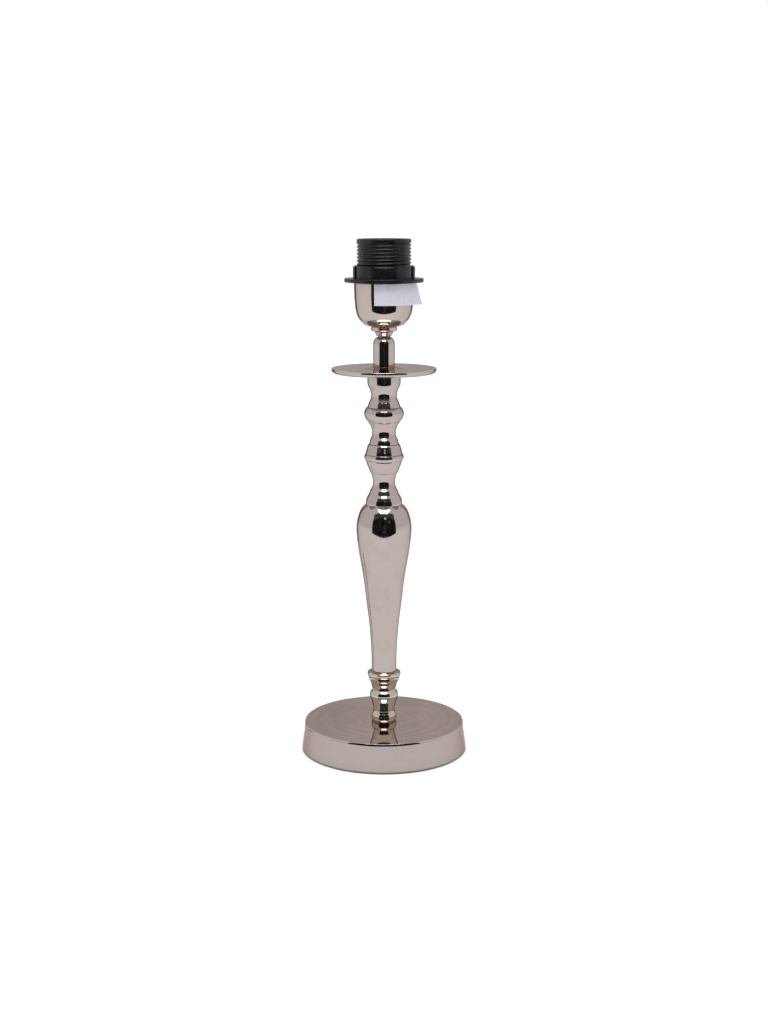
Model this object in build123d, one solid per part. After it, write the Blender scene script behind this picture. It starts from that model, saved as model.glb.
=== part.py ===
from build123d import *
import os

os.makedirs("parts", exist_ok=True)

# Table lamp base: turned nickel pieces stacked on one hollow rod, with a threaded lampholder.
# Millimetres. The origin is the centre of the resting face and +Z runs up the rod.
# The front of the lamp, with the label, faces -Y.

# Shared sizes
rod_radius = 5.0
rod_wall = 1.25
rod_play = 0.2
thread_play = 0.05
seat_play = 0.03
overrun = 1.0
rod_bore_radius = rod_radius - rod_wall
rod_hole_radius = rod_radius + rod_play
thread_bore_radius = rod_radius + thread_play

# Foot
foot_radius = 62.3
foot_taper = 2.4
foot_height = 22.1
foot_wall = 2.2
foot_edge_radius = 1.7
felt_thickness = 0.8
felt_inset = 1.3
bottom_plate_thickness = 1.5
foot_room = 11.5
weight_gap = 2.9
weight_chamfer = 1.0
foot_shoulder_radius = foot_radius - foot_taper
weight_radius = foot_shoulder_radius - foot_wall - weight_gap
plate_top = felt_thickness + bottom_plate_thickness
weight_bottom = plate_top + foot_room
weight_top = foot_height - foot_wall

# Fasteners under the foot
foot_washer_rim = 6.8
foot_washer_thickness = 1.5
lock_washer_rim = 3.0
lock_washer_thickness = 1.2
lock_washer_slit = 1.4
foot_nut_wall = 2.0
foot_nut_height = 3.0
foot_nut_chamfer = 0.6
foot_nut_sides = 6
rod_tail = 1.0

# Bush on the rod's lower end
end_bush_flange = 1.0
end_bush_spigot = 5.0
end_bush_wall = 0.85

# Inlet bush in the rear wall, standing on the bottom plate
inlet_bore_radius = 3.5
inlet_wall = 1.4
inlet_lip = 1.4
inlet_flange_outside = 1.1
inlet_flange_inside = 1.2
inlet_hole_radius = inlet_bore_radius + inlet_wall
inlet_flange_radius = inlet_hole_radius + inlet_lip
inlet_height = plate_top + inlet_flange_radius

# Turned column, from the foot up
stem_height = 39.1
stem_radius = 12.6
stem_foot_radius = 8.5
vase_height = 127.4
vase_radius = 20.6
vase_foot_radius = 9.42
vase_wall = 2.2
vase_plug_height = 7.0
neck_height = 23.7
neck_radius = 13.7
lower_knop_height = 21.1
lower_knop_radius = 14.64
lower_knop_foot_radius = 10.4
upper_knop_height = 27.2
upper_knop_radius = 14.68
upper_knop_foot_radius = 10.9
pan_seat_height = 25.2
pan_seat_radius = 12.25
seam_lip = 0.5

# Drip pan
pan_radius = 38.55
pan_thickness = 3.5
pan_edge_share = 0.10
pan_under_share = 0.86
pan_boss_radius = 15.8
pan_boss_height = 1.1
pan_boss_slope = 7.0

# Tube above the pan and the nut above it
tube_radius = 7.92
tube_wall = 1.52
tube_height = 21.4
tube_mouth_rim = 0.25
tube_thread_height = 5.0
rod_show = 1.1
seat_nut_wall = 1.7
seat_nut_taper = 1.0
seat_nut_height = 3.2
seat_nut_rim = 0.8
seat_nut_chamfer = 0.3

# Lampholder skirt, the threaded barrel
skirt_height = 44.0
barrel_radius = 19.75
barrel_thread_depth = 0.85
barrel_pitch = 2.5
barrel_crest_width = 0.5
barrel_root_width = 0.55
barrel_groove_overrun = 0.2
barrel_plain_foot = 2.0
barrel_plain_top = 3.0
barrel_top_chamfer = 0.7
skirt_wall = 1.6
skirt_foot_height = 5.0
skirt_foot_step = 0.55
skirt_bore_play = 0.1
skirt_ledge = 0.8
lip_height = 3.2
lip_reach = 1.8
lip_chamfer = 1.4
skirt_foot_radius = barrel_radius - skirt_foot_step
skirt_bore_radius = barrel_radius - barrel_thread_depth - skirt_wall
skirt_chamber_radius = skirt_bore_radius - skirt_ledge
lip_radius = skirt_chamber_radius - lip_reach

# Cup
cup_height = 35.4
cup_gap = 1.15
cup_wall = 0.9
cup_floor = 3.8
cup_boss_radius = 8.4
cup_boss_share = 0.082
cup_washer_thickness = 1.0
cup_radius = barrel_radius + cup_gap + cup_wall
cup_inner_radius = cup_radius - cup_wall

# Lampholder cap, inside the cup
insert_wall = 1.4
insert_height = 9.0
rod_short_of_insert = 1.0
cap_neck_wall = 2.4
cap_neck_height = 7.0
cap_dome_height = 10.6
cap_shoulder_step = 0.3
cap_collar_height = 6.0
cap_collar_wall = 2.0
cap_wall = 1.8
lock_screw_radius = 1.5
lock_screw_height = 4.0
insert_radius = rod_radius + insert_wall
cap_neck_radius = insert_radius + cap_neck_wall
cap_shoulder_radius = skirt_foot_radius - cap_shoulder_step
cap_collar_radius = skirt_bore_radius - skirt_bore_play
cap_hollow_radius = cap_collar_radius - cap_collar_wall

# Contact block, screw shell and contacts
block_height = 6.0
block_play = 0.1
block_chamfer = 0.2
shell_play = 1.45
shell_thread_depth = 1.05
shell_wall = 0.4
shell_pitch = 3.63
shell_foot_height = 2.6
shell_mouth_height = 2.6
shell_gap = 0.3
shell_floor_width = 1.5
rivet_radius = 1.0
rivet_head_lip = 0.55
rivet_head_height = 0.7
rivet_inset = 0.8
leaf_width = 4.6
leaf_thickness = 0.4
leaf_gap = 0.35
leaf_rivet_gap = 2.9
leaf_rivet_play = 0.35
leaf_edge = 0.35
leaf_rise = 3.4
leaf_tip = 3.2
leaf_tip_drop = 0.9
shell_major_radius = lip_radius - shell_play
shell_minor_radius = shell_major_radius - shell_thread_depth
shell_rivet_circle = shell_minor_radius - rivet_inset
shell_hole_radius = shell_rivet_circle - shell_floor_width
leaf_rivet_place = shell_hole_radius - leaf_rivet_gap
rivet_head_radius = rivet_radius + rivet_head_lip

# Terminals under the contact block
terminal_width = 6.0
terminal_depth = 8.0
terminal_height = 5.4
terminal_chamfer = 0.4
terminal_setback = 1.4
terminal_edge = 1.6
terminal_rivet_reach = 2.4
wire_hole_radius = 1.3
wire_hole_edge = 2.1
wire_hole_roof = 1.2
clamp_screw_height = 2.2
terminal_screw_radius = 1.2
terminal_screw_head_radius = 2.1
terminal_screw_head_height = 1.5
screw_slot_width = 0.6
screw_slot_depth = 0.6
terminal_front = -terminal_setback - terminal_depth / 2
wire_hole_place = terminal_front + wire_hole_edge
line_terminal_place = leaf_rivet_place - terminal_edge + terminal_width / 2
neutral_terminal_place = -shell_rivet_circle - terminal_edge + terminal_width / 2

# Shade ring, which travels on the barrel
ring_play = 0.06
ring_collar_wall = 1.59
ring_collar_height = 9.1
ring_flange_reach = 7.35
ring_flange_thickness = 2.8
ring_flange_chamfer = 0.35
ring_lug_rise = 1.1
ring_lug_width = 14.5
ring_lug_edge_radius = 1.6
ring_lug_count = 4
ring_bore_radius = barrel_radius + ring_play
ring_collar_radius = ring_bore_radius + ring_collar_wall
ring_flange_radius = ring_collar_radius + ring_flange_reach
ring_lug_radius = ring_collar_radius + ring_lug_rise

# Label
label_height = 15.3
label_thickness = 0.15
label_below_rim = 0.6
label_gap = 0.04
label_start_angle = -19.0
label_wrap_angle = 68.0
label_free_length = 16.5

# Angles
full_turn = 360.0

# Outlines of the turned pieces. Each curve goes on from the one below it: one more point makes
# a line, two an arc and three or more a smooth curve. A point is a share of the piece's radius
# and a share of its height. The seat radii at the two ends are put in by turned_curves. The
# foot's wall has shares of its taper and its height.
stem_shares = (
    ((0.754, 0.079), (0.659, 0.164)),
    ((0.631, 0.210), (0.655, 0.271), (0.706, 0.340), (0.762, 0.402), (0.817, 0.448), (0.853, 0.478)),
    ((0.857, 0.527), (0.786, 0.583)),
    ((0.697, 0.611),),
    ((0.722, 0.665), (0.762, 0.706), (0.810, 0.747), (0.837, 0.785)),
    ((0.885, 0.801),),
    ((0.929, 0.844), (0.956, 0.885)),
    ((0.990, 0.912), (1.0, 0.940), (0.978, 0.966), (0.900, 0.985)),
)
vase_shares = (
    (
        (0.461, 0.068),
        (0.480, 0.151),
        (0.520, 0.240),
        (0.571, 0.324),
        (0.633, 0.400),
        (0.697, 0.490),
        (0.769, 0.577),
        (0.844, 0.647),
        (0.917, 0.716),
        (0.972, 0.784),
        (0.997, 0.833),
        (0.998, 0.873),
        (0.972, 0.904),
        (0.907, 0.941),
        (0.813, 0.974),
    ),
)
neck_shares = (
    ((0.984, 0.100), (0.946, 0.180), (0.880, 0.262)),
    (
        (0.808, 0.335),
        (0.735, 0.435),
        (0.657, 0.530),
        (0.606, 0.650),
        (0.608, 0.740),
        (0.650, 0.860),
    ),
)
lower_knop_shares = (
    ((0.785, 0.130), (0.845, 0.240), (0.920, 0.420)),
    ((0.948, 0.440),),
    ((1.0, 0.545), (0.972, 0.632)),
    ((0.945, 0.645),),
    ((0.898, 0.775), (0.860, 0.868), (0.818, 0.955)),
)
upper_knop_shares = (
    (
        (0.700, 0.120),
        (0.625, 0.215),
        (0.597, 0.315),
        (0.620, 0.400),
        (0.688, 0.495),
        (0.800, 0.600),
    ),
    ((0.835, 0.618),),
    ((0.925, 0.690), (0.980, 0.760), (1.0, 0.835), (0.985, 0.895), (0.945, 0.945)),
)
pan_seat_shares = (
    (
        (0.952, 0.080),
        (0.848, 0.195),
        (0.788, 0.280),
        (0.779, 0.360),
        (0.826, 0.480),
        (0.882, 0.545),
        (0.945, 0.600),
        (0.985, 0.665),
        (1.0, 0.760),
    ),
    (),
)
tube_shares = (
    ((1.0, 0.790),),
    ((0.965, 0.870), (0.885, 0.930), (0.780, 0.972)),
)
cup_shares = (
    ((0.432, 0.018), (0.433, 0.060)),
    ((0.432, cup_boss_share),),
    (
        (0.537, 0.105),
        (0.650, 0.133),
        (0.750, 0.186),
        (0.830, 0.242),
        (0.895, 0.320),
        (0.945, 0.430),
        (0.967, 0.534),
    ),
)
foot_wall_shares = ((0.078, 0.08), (0.357, 0.35), (0.739, 0.68))
cap_dome_shares = (
    ((0.735, 0.165), (0.930, 0.520)),
)

# Levels, from the resting face up
foot_top = foot_height
washer_bottom = weight_bottom - foot_washer_thickness
lock_washer_bottom = washer_bottom - lock_washer_thickness
foot_nut_bottom = lock_washer_bottom - foot_nut_height
rod_bottom = foot_nut_bottom - rod_tail
vase_bottom = foot_top + stem_height
neck_bottom = vase_bottom + vase_height
lower_knop_bottom = neck_bottom + neck_height
upper_knop_bottom = lower_knop_bottom + lower_knop_height
pan_seat_bottom = upper_knop_bottom + upper_knop_height
pan_bottom = pan_seat_bottom + pan_seat_height
pan_top = pan_bottom + pan_thickness
tube_bottom = pan_top + pan_boss_height
tube_top = tube_bottom + tube_height
seat_nut_bottom = tube_top + rod_show
cup_bottom = seat_nut_bottom + seat_nut_height
cup_rim = cup_bottom + cup_height
cup_washer_bottom = cup_bottom + cup_floor
cap_bottom = cup_washer_bottom + cup_washer_thickness
insert_top = cap_bottom + insert_height
rod_top = insert_top - rod_short_of_insert
cap_dome_bottom = cap_bottom + cap_neck_height
skirt_bottom = cap_dome_bottom + cap_dome_height
block_bottom = skirt_bottom + cap_collar_height
block_top = block_bottom + block_height
skirt_top = skirt_bottom + skirt_height
lip_bottom = skirt_top - lip_height
shell_bottom = block_top
shell_top = lip_bottom - shell_gap
shell_thread_bottom = shell_bottom + shell_foot_height
shell_turns = int((shell_top - shell_mouth_height - shell_thread_bottom) / shell_pitch)


def turned_curves(shares, radius, height, bottom, low_radius, high_radius):
    """Edges of one outline, in the XY plane, with X as the radius and Y as the level."""
    last = (high_radius, bottom + height)
    here = (low_radius, bottom)
    edges = []
    for number, curve in enumerate(shares):
        points = [here]
        points += [(r_share * radius, bottom + z_share * height) for r_share, z_share in curve]
        if number == len(shares) - 1:
            points.append(last)
        edges.append(smooth_edge(points))
        here = points[-1]
    return edges


def smooth_edge(points):
    """A line through two points, an arc through three, a smooth curve through more."""
    if len(points) == 2:
        return Line(*points)
    if len(points) == 3:
        return ThreePointArc(*points)
    return Spline(*points)


def spun(edges):
    """Closed outline turned once about the rod's axis."""
    return revolve(Plane.XZ * make_face(edges), Axis.Z)


def turned(shares, radius, height, bottom, low_radius, high_radius, bore_radius):
    """Turned piece with a plain bore from end to end."""
    edges = turned_curves(shares, radius, height, bottom, low_radius, high_radius)
    top = bottom + height
    bore = Polyline((high_radius, top), (bore_radius, top), (bore_radius, bottom), (low_radius, bottom))
    return spun(edges + [bore])


def spun_polygon(*points):
    """Straight-sided outline turned once about the rod's axis."""
    return spun(Polyline(*points, close=True))


def pin_at(radius, bottom, height, x=0, y=0):
    """Upright cylinder that stands on a level."""
    return Pos(x, y, bottom) * Cylinder(radius, height, align=(Align.CENTER, Align.CENTER, Align.MIN))


def ring_at(outer, inner, bottom, height):
    """Flat washer that stands on a level."""
    hole = pin_at(inner, bottom - overrun, height + overrun + overrun)
    return pin_at(outer, bottom, height) - hole


def pin_along_y(radius, start, length, x, z):
    """Cylinder that runs towards the rear from a given Y."""
    plane = Plane(origin=(x, start, z), x_dir=(1, 0, 0), z_dir=(0, 1, 0))
    return plane * Cylinder(radius, length, align=(Align.CENTER, Align.CENTER, Align.MIN))


def foot_wall_radius(level):
    """Outer radius of the foot at a level, on the straight line from its base to its shoulder."""
    return foot_radius - foot_taper * level / foot_height


def foot_shell():
    """Wide foot: a thin wall that leans in, a flat top and a hole for the rod."""
    height = foot_height - felt_thickness
    wall = [(foot_radius, felt_thickness)]
    for taper_share, height_share in foot_wall_shares:
        wall.append((foot_radius - taper_share * foot_taper, felt_thickness + height_share * height))
    wall.append((foot_shoulder_radius, foot_height))
    rest = Polyline(wall[-1], (rod_hole_radius, foot_height), (rod_hole_radius, felt_thickness), wall[0])
    body = spun([Spline(*wall), rest])
    circles = body.edges().filter_by(GeomType.CIRCLE).sort_by(Axis.Z)
    rim = circles.filter_by(lambda edge: edge.radius > weight_radius)[-1]
    body = fillet(rim, foot_edge_radius)
    base_radius = foot_wall_radius(felt_thickness) - foot_wall
    hollow = spun_polygon(
        (0, felt_thickness - overrun),
        (base_radius, felt_thickness - overrun),
        (base_radius, felt_thickness),
        (foot_shoulder_radius - foot_wall, weight_top),
        (0, weight_top),
    )
    inlet_start = foot_wall_radius(inlet_height) - foot_wall - inlet_flange_inside - overrun
    inlet_length = foot_radius + overrun - inlet_start
    return body - hollow - pin_along_y(inlet_hole_radius, inlet_start, inlet_length, 0, inlet_height)


def cord_bush(shell):
    """Rubber bush in the rear wall. Its flanges follow the wall's curve."""
    wall_outside = foot_wall_radius(inlet_height)
    wall_inside = wall_outside - foot_wall
    start = wall_inside - inlet_flange_inside
    end = wall_outside + inlet_flange_outside
    inside = pin_along_y(inlet_flange_radius, start, wall_outside - start, 0, inlet_height)
    outside = pin_along_y(inlet_flange_radius, wall_outside, end - wall_outside, 0, inlet_height)
    edge = outside.edges().filter_by(GeomType.CIRCLE).sort_by(Axis.Y)[-1]
    outside = chamfer(edge, inlet_flange_outside / 2)
    neck = pin_along_y(inlet_hole_radius - seat_play, start, end - start, 0, inlet_height)
    bore = pin_along_y(inlet_bore_radius, start - overrun, end - start + overrun + overrun, 0, inlet_height)
    flanges = inside + outside - shell
    return kept_largest(flanges + neck - bore)


def kept_largest(shape):
    """The one solid of a shape that is left when slivers are dropped."""
    return Part() + shape.solids().sort_by(SortBy.VOLUME)[-1]


def foot_nut():
    """Hexagon nut, its corners taken down by a chamfer at the top and the bottom."""
    hexagon = RegularPolygon(rod_radius + foot_nut_wall, foot_nut_sides, major_radius=False)
    prism = extrude(Pos(0, 0, foot_nut_bottom) * hexagon, foot_nut_height)
    corner_radius = max(vertex.center().length for vertex in hexagon.vertices())
    disc = pin_at(corner_radius, foot_nut_bottom, foot_nut_height)
    disc = chamfer(disc.edges().filter_by(GeomType.CIRCLE), foot_nut_chamfer)
    hole_length = foot_nut_height + overrun + overrun
    return (prism & disc) - pin_at(thread_bore_radius, foot_nut_bottom - overrun, hole_length)


def lock_washer():
    """Flat spring ring, slit at one place."""
    radius = rod_hole_radius + lock_washer_rim
    ring = ring_at(radius, rod_hole_radius, lock_washer_bottom, lock_washer_thickness)
    middle = Pos(radius, 0, lock_washer_bottom + lock_washer_thickness / 2)
    return ring - middle * Box(radius, lock_washer_slit, lock_washer_thickness + overrun)


def rod_end_bush():
    """Plastic bush: a flange under the rod's end and a spigot in its bore."""
    flange = pin_at(rod_radius, rod_bottom - end_bush_flange, end_bush_flange)
    spigot = pin_at(rod_bore_radius - seat_play, rod_bottom, end_bush_spigot)
    length = end_bush_flange + end_bush_spigot + overrun + overrun
    bore = pin_at(rod_bore_radius - end_bush_wall, rod_bottom - end_bush_flange - overrun, length)
    return flange + spigot - bore


def foot_weight():
    """Iron disc under the foot's top, bored for the rod."""
    thickness = weight_top - weight_bottom
    disc = pin_at(weight_radius, weight_bottom, thickness)
    disc = chamfer(disc.edges().filter_by(GeomType.CIRCLE), weight_chamfer)
    return disc - pin_at(rod_hole_radius, weight_bottom - overrun, thickness + overrun + overrun)


def vase_body():
    """Hollow vase with a solid plug at each end, bored for the rod."""
    body = turned(
        vase_shares,
        vase_radius,
        vase_height,
        vase_bottom,
        vase_foot_radius,
        neck_radius - seam_lip / 2,
        rod_hole_radius,
    )
    low = vase_bottom + vase_plug_height
    high = neck_bottom - vase_plug_height
    points = [(r * vase_radius - vase_wall, vase_bottom + z * vase_height) for r, z in vase_shares[0]]
    points = [point for point in points if low < point[1] < high]
    wall_top = (points[-1][0], high)
    wall_low = (vase_foot_radius - vase_wall, low)
    hollow = [
        Spline(wall_low, *points),
        Polyline(points[-1], wall_top, (0, high), (0, low), wall_low),
    ]
    return body - spun(hollow)


def drip_pan():
    """Flat pan that rises a little round the rod, its rim well rounded underneath."""
    pan = spun_polygon(
        (rod_hole_radius, pan_bottom),
        (pan_radius, pan_bottom),
        (pan_radius, pan_top),
        (pan_boss_radius, pan_top),
        (pan_boss_radius - pan_boss_slope, tube_bottom),
        (rod_hole_radius, tube_bottom),
    )
    for place, rounding_share in ((0, pan_under_share), (-1, pan_edge_share)):
        circles = pan.edges().filter_by(GeomType.CIRCLE)
        rims = circles.filter_by(lambda edge: edge.radius > (pan_boss_radius + pan_radius) / 2)
        rim = rims.sort_by(Axis.Z)[place]
        pan = fillet(rim, pan_thickness * rounding_share)
    return pan


def neck_tube():
    """Tube with a round shoulder. Its top is threaded on the rod and clamps the column."""
    mouth_radius = thread_bore_radius + tube_mouth_rim
    body = turned(
        tube_shares,
        tube_radius,
        tube_height,
        tube_bottom,
        tube_radius,
        mouth_radius,
        thread_bore_radius,
    )
    hollow_length = tube_height - tube_thread_height + overrun
    return body - pin_at(tube_radius - tube_wall, tube_bottom - overrun, hollow_length)


def seat_nut():
    """Small ring nut, wider towards its top, that carries the cup."""
    radius = rod_radius + seat_nut_wall
    return spun_polygon(
        (thread_bore_radius, seat_nut_bottom),
        (radius - seat_nut_taper, seat_nut_bottom),
        (radius, cup_bottom - seat_nut_rim),
        (radius, cup_bottom - seat_nut_chamfer),
        (radius - seat_nut_chamfer, cup_bottom),
        (thread_bore_radius, cup_bottom),
    )


def holder_cup():
    """Thin cup on a small boss, open at the top."""
    body = turned(
        cup_shares,
        cup_radius,
        cup_height,
        cup_bottom,
        cup_boss_radius,
        cup_radius,
        rod_hole_radius,
    )
    stretch = (cup_height - cup_floor) / (cup_height - cup_boss_share * cup_height)
    floor = cup_bottom + cup_floor
    points = []
    for r_share, z_share in cup_shares[1] + cup_shares[2]:
        level = floor + (z_share - cup_boss_share) * cup_height * stretch
        points.append((r_share * cup_inner_radius, level))
    mouth = cup_rim + overrun
    wall_top = Polyline(points[-1], (cup_inner_radius, cup_rim), (cup_inner_radius, mouth))
    inside = Polyline((cup_inner_radius, mouth), (0, mouth), (0, floor), points[0])
    return body - spun([Spline(*points), wall_top, inside])


def cup_washer():
    """Steel washer that covers the cup's flat floor."""
    floor_radius = cup_shares[1][-1][0] * cup_inner_radius
    return ring_at(floor_radius - seat_play, rod_hole_radius, cup_washer_bottom, cup_washer_thickness)


def holder_cap():
    """Plastic cap: a neck round the insert, a dome and a collar that the skirt screws on."""
    neck = pin_at(cap_neck_radius, cap_bottom, cap_neck_height)
    edges = turned_curves(
        cap_dome_shares,
        cap_shoulder_radius,
        cap_dome_height,
        cap_dome_bottom,
        cap_neck_radius,
        cap_shoulder_radius,
    )
    edges.append(
        Polyline(
            (cap_shoulder_radius, skirt_bottom),
            (0, skirt_bottom),
            (0, cap_dome_bottom),
            (cap_neck_radius, cap_dome_bottom),
        )
    )
    collar = pin_at(cap_collar_radius, skirt_bottom, cap_collar_height)
    hollow = spun_polygon(
        (0, insert_top),
        (insert_radius, insert_top),
        (cap_hollow_radius - cap_wall, skirt_bottom - cap_wall),
        (cap_hollow_radius, skirt_bottom),
        (cap_hollow_radius, block_bottom + overrun),
        (0, block_bottom + overrun),
    )
    hole_length = insert_height + overrun + seat_play
    insert_hole = pin_at(insert_radius + seat_play, cap_bottom - overrun, hole_length)
    return neck + spun(edges) + collar - hollow - insert_hole - lock_screw_hole()


def lock_screw_hole():
    """Hole for the grub screw, through the cap's neck and the insert."""
    level = cap_bottom + lock_screw_height
    return pin_along_y(lock_screw_radius + thread_play, rod_radius - overrun, cap_neck_radius, 0, level)


def cap_insert():
    """Threaded metal sleeve of the cap."""
    sleeve = ring_at(insert_radius, thread_bore_radius, cap_bottom, insert_height)
    return sleeve - lock_screw_hole()


def screw_slot(head_radius, x, face, z):
    """Cutter for a level slot across a screw's end, centred on that end's face."""
    return Pos(x, face, z) * Box(head_radius * 2 + overrun, screw_slot_depth * 2, screw_slot_width)


def cap_lock_screw():
    """Grub screw with a slot in its outer end, which bears on the rod."""
    start = rod_radius + seat_play
    level = cap_bottom + lock_screw_height
    screw = pin_along_y(lock_screw_radius, start, cap_neck_radius - start, 0, level)
    return screw - screw_slot(lock_screw_radius, 0, cap_neck_radius, level)


def barrel_groove():
    """One long V groove wound round the barrel."""
    outside = barrel_radius + barrel_groove_overrun
    root = barrel_radius - barrel_thread_depth
    low = skirt_bottom + skirt_foot_height + barrel_plain_foot
    length = skirt_top - barrel_plain_top - low
    flank = barrel_pitch - barrel_crest_width - barrel_root_width
    spread = flank * (outside - root) / barrel_thread_depth
    half_root = barrel_root_width / 2
    half_mouth = (barrel_root_width + spread) / 2
    path = Helix(barrel_pitch, length, root, center=(0, 0, low))
    outline = Polyline(
        (root, low - half_root),
        (outside, low - half_mouth),
        (outside, low + half_mouth),
        (root, low + half_root),
        close=True,
    )
    return sweep(Plane.XZ * make_face(outline), path=path, is_frenet=True)


def skirt_blank():
    """Skirt before its thread: barrel, bore for the cap and block, and a lip round the mouth."""
    foot_top = skirt_bottom + skirt_foot_height
    return spun_polygon(
        (skirt_bore_radius, skirt_bottom),
        (skirt_foot_radius, skirt_bottom),
        (skirt_foot_radius, foot_top),
        (barrel_radius, foot_top + skirt_foot_step),
        (barrel_radius, skirt_top - barrel_top_chamfer),
        (barrel_radius - barrel_top_chamfer, skirt_top),
        (lip_radius + lip_chamfer, skirt_top),
        (lip_radius, skirt_top - lip_chamfer),
        (lip_radius, lip_bottom),
        (skirt_chamber_radius, lip_bottom),
        (skirt_chamber_radius, block_top),
        (skirt_bore_radius, block_top),
    )


def rivet_places():
    """Places of the two rivets that hold only the shell, front and rear."""
    return [(0, -shell_rivet_circle), (0, shell_rivet_circle)]


def contact_block():
    """Ceramic disc between the cap's collar and the skirt's ledge, drilled for its rivets."""
    disc = pin_at(skirt_bore_radius - block_play, block_bottom, block_height)
    disc = chamfer(disc.edges().filter_by(GeomType.CIRCLE), block_chamfer)
    places = rivet_places() + [(leaf_rivet_place, 0), (-shell_rivet_circle, 0)]
    hole_length = block_height + overrun + overrun
    for x, y in places:
        disc -= pin_at(rivet_radius + seat_play, block_bottom - overrun, hole_length, x, y)
    return disc


def shell_wave(minor, major):
    """Edges of the rolled thread seen in section: two smooth half waves for each turn."""
    rise = shell_pitch / 2
    level = shell_thread_bottom
    edges = []
    for start, end in [(major, minor), (minor, major)] * shell_turns:
        middle = level + rise / 2
        edges.append(Bezier((start, level), (start, middle), (end, middle), (end, level + rise)))
        level += rise
    return edges


def shell_profile(minor, major, bottom, top):
    """Section of the shell's inside or outside, closed on the axis."""
    high = shell_thread_bottom + shell_turns * shell_pitch
    low = shell_thread_bottom
    rest = Polyline((major, high), (major, top), (0, top), (0, bottom), (major, bottom), (major, low))
    return shell_wave(minor, major) + [rest]


def screw_shell():
    """Thin shell with a rolled thread and a floor that the rivets hold on the block."""
    outer_minor = shell_minor_radius + shell_wall
    outer_major = shell_major_radius + shell_wall
    floor_top = shell_bottom + shell_wall
    outside = spun(shell_profile(outer_minor, outer_major, shell_bottom, shell_top))
    inside = spun(shell_profile(shell_minor_radius, shell_major_radius, floor_top, shell_top + overrun))
    shell = outside - inside
    hole_length = shell_wall + overrun + overrun
    shell -= pin_at(shell_hole_radius, shell_bottom - overrun, hole_length)
    for x, y in rivet_places() + [(-shell_rivet_circle, 0)]:
        shell -= pin_at(rivet_radius + seat_play, shell_bottom - overrun, hole_length, x, y)
    return shell


def rivet(x, y, head_bottom, foot_level):
    """Round-headed rivet with its head at the top."""
    head = pin_at(rivet_head_radius, head_bottom, rivet_head_height, x, y)
    head = chamfer(head.edges().filter_by(GeomType.CIRCLE).sort_by(Axis.Z)[-1], rivet_head_height / 2)
    return head + pin_at(rivet_radius, foot_level, head_bottom - foot_level, x, y)


def shell_rivets():
    """Two rivets through the shell's floor and the block, spread under the block."""
    bodies = []
    for x, y in rivet_places():
        body = rivet(x, y, shell_bottom + shell_wall, block_bottom)
        body += pin_at(rivet_head_radius, block_bottom - rivet_head_height, rivet_head_height, x, y)
        bodies.append(body)
    return group(bodies)


def neutral_rivet():
    """Rivet from the shell's floor through the block into the neutral terminal."""
    return rivet(-shell_rivet_circle, 0, shell_bottom + shell_wall, block_bottom - terminal_rivet_reach)


def contact_rivet():
    """Rivet that traps the leaf's tab loosely and goes on into the line terminal."""
    head_bottom = block_top + leaf_gap + leaf_thickness + leaf_gap
    return rivet(leaf_rivet_place, 0, head_bottom, block_bottom - terminal_rivet_reach)


def centre_contact():
    """Sprung leaf: a flat tab round its rivet, a rise to the middle and a tip that turns down."""
    tab_level = block_top + leaf_gap
    top_level = tab_level + leaf_rise
    hole_radius = rivet_radius + leaf_rivet_play
    tab_end = leaf_rivet_place + hole_radius + leaf_edge
    tab_start = leaf_rivet_place - hole_radius - leaf_edge
    tip_level = top_level - leaf_tip_drop
    climb_level = tab_level + leaf_rise / 2
    half = leaf_thickness / 2
    under = Spline(
        (tab_start, tab_level),
        (tab_start / 2, climb_level),
        (0, top_level),
        (-leaf_tip, tip_level),
    )
    tip = Line((-leaf_tip, tip_level), (-leaf_tip, tip_level + leaf_thickness))
    over = Spline(
        (-leaf_tip, tip_level + leaf_thickness),
        (0, top_level + leaf_thickness),
        (tab_start / 2 + half, climb_level + half),
        (tab_start, tab_level + leaf_thickness),
    )
    tab = Polyline(
        (tab_start, tab_level + leaf_thickness),
        (tab_end, tab_level + leaf_thickness),
        (tab_end, tab_level),
        (tab_start, tab_level),
    )
    face = Plane.XZ * make_face([under, tip, over, tab])
    leaf = extrude(face, leaf_width / 2, both=True)
    return leaf - pin_at(hole_radius, block_top - overrun, leaf_rise + overrun, leaf_rivet_place, 0)


def terminal(rivet_x, middle):
    """Brass terminal under the block, with a rivet hole, a wire hole and a clamp screw's hole."""
    floor = block_bottom - terminal_height
    body = Pos(middle, -terminal_setback, block_bottom - terminal_height / 2) * Box(
        terminal_width, terminal_depth, terminal_height
    )
    body = chamfer(body.edges().filter_by(Axis.Z), terminal_chamfer)
    rivet_floor = block_bottom - terminal_rivet_reach
    body -= pin_at(rivet_radius + seat_play, rivet_floor, terminal_rivet_reach + overrun, rivet_x, 0)
    wire_hole_length = terminal_height - wire_hole_roof + overrun
    body -= pin_at(wire_hole_radius, floor - overrun, wire_hole_length, middle, wire_hole_place)
    screw_start = terminal_front - overrun
    screw_hole_radius = terminal_screw_radius + seat_play
    level = floor + clamp_screw_height
    return body - pin_along_y(screw_hole_radius, screw_start, wire_hole_place - screw_start, middle, level)


def terminal_screw(middle):
    """Clamp screw with a slotted round head on the terminal's front."""
    level = block_bottom - terminal_height + clamp_screw_height
    head_start = terminal_front - terminal_screw_head_height
    head = pin_along_y(terminal_screw_head_radius, head_start, terminal_screw_head_height, middle, level)
    shank_length = wire_hole_edge - wire_hole_radius
    shank = pin_along_y(terminal_screw_radius, terminal_front, shank_length, middle, level)
    return head + shank - screw_slot(terminal_screw_head_radius, middle, head_start, level)


def group(bodies):
    """Separate solids kept together under one name."""
    return Compound(children=[solid for body in bodies for solid in body.solids()])


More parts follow.
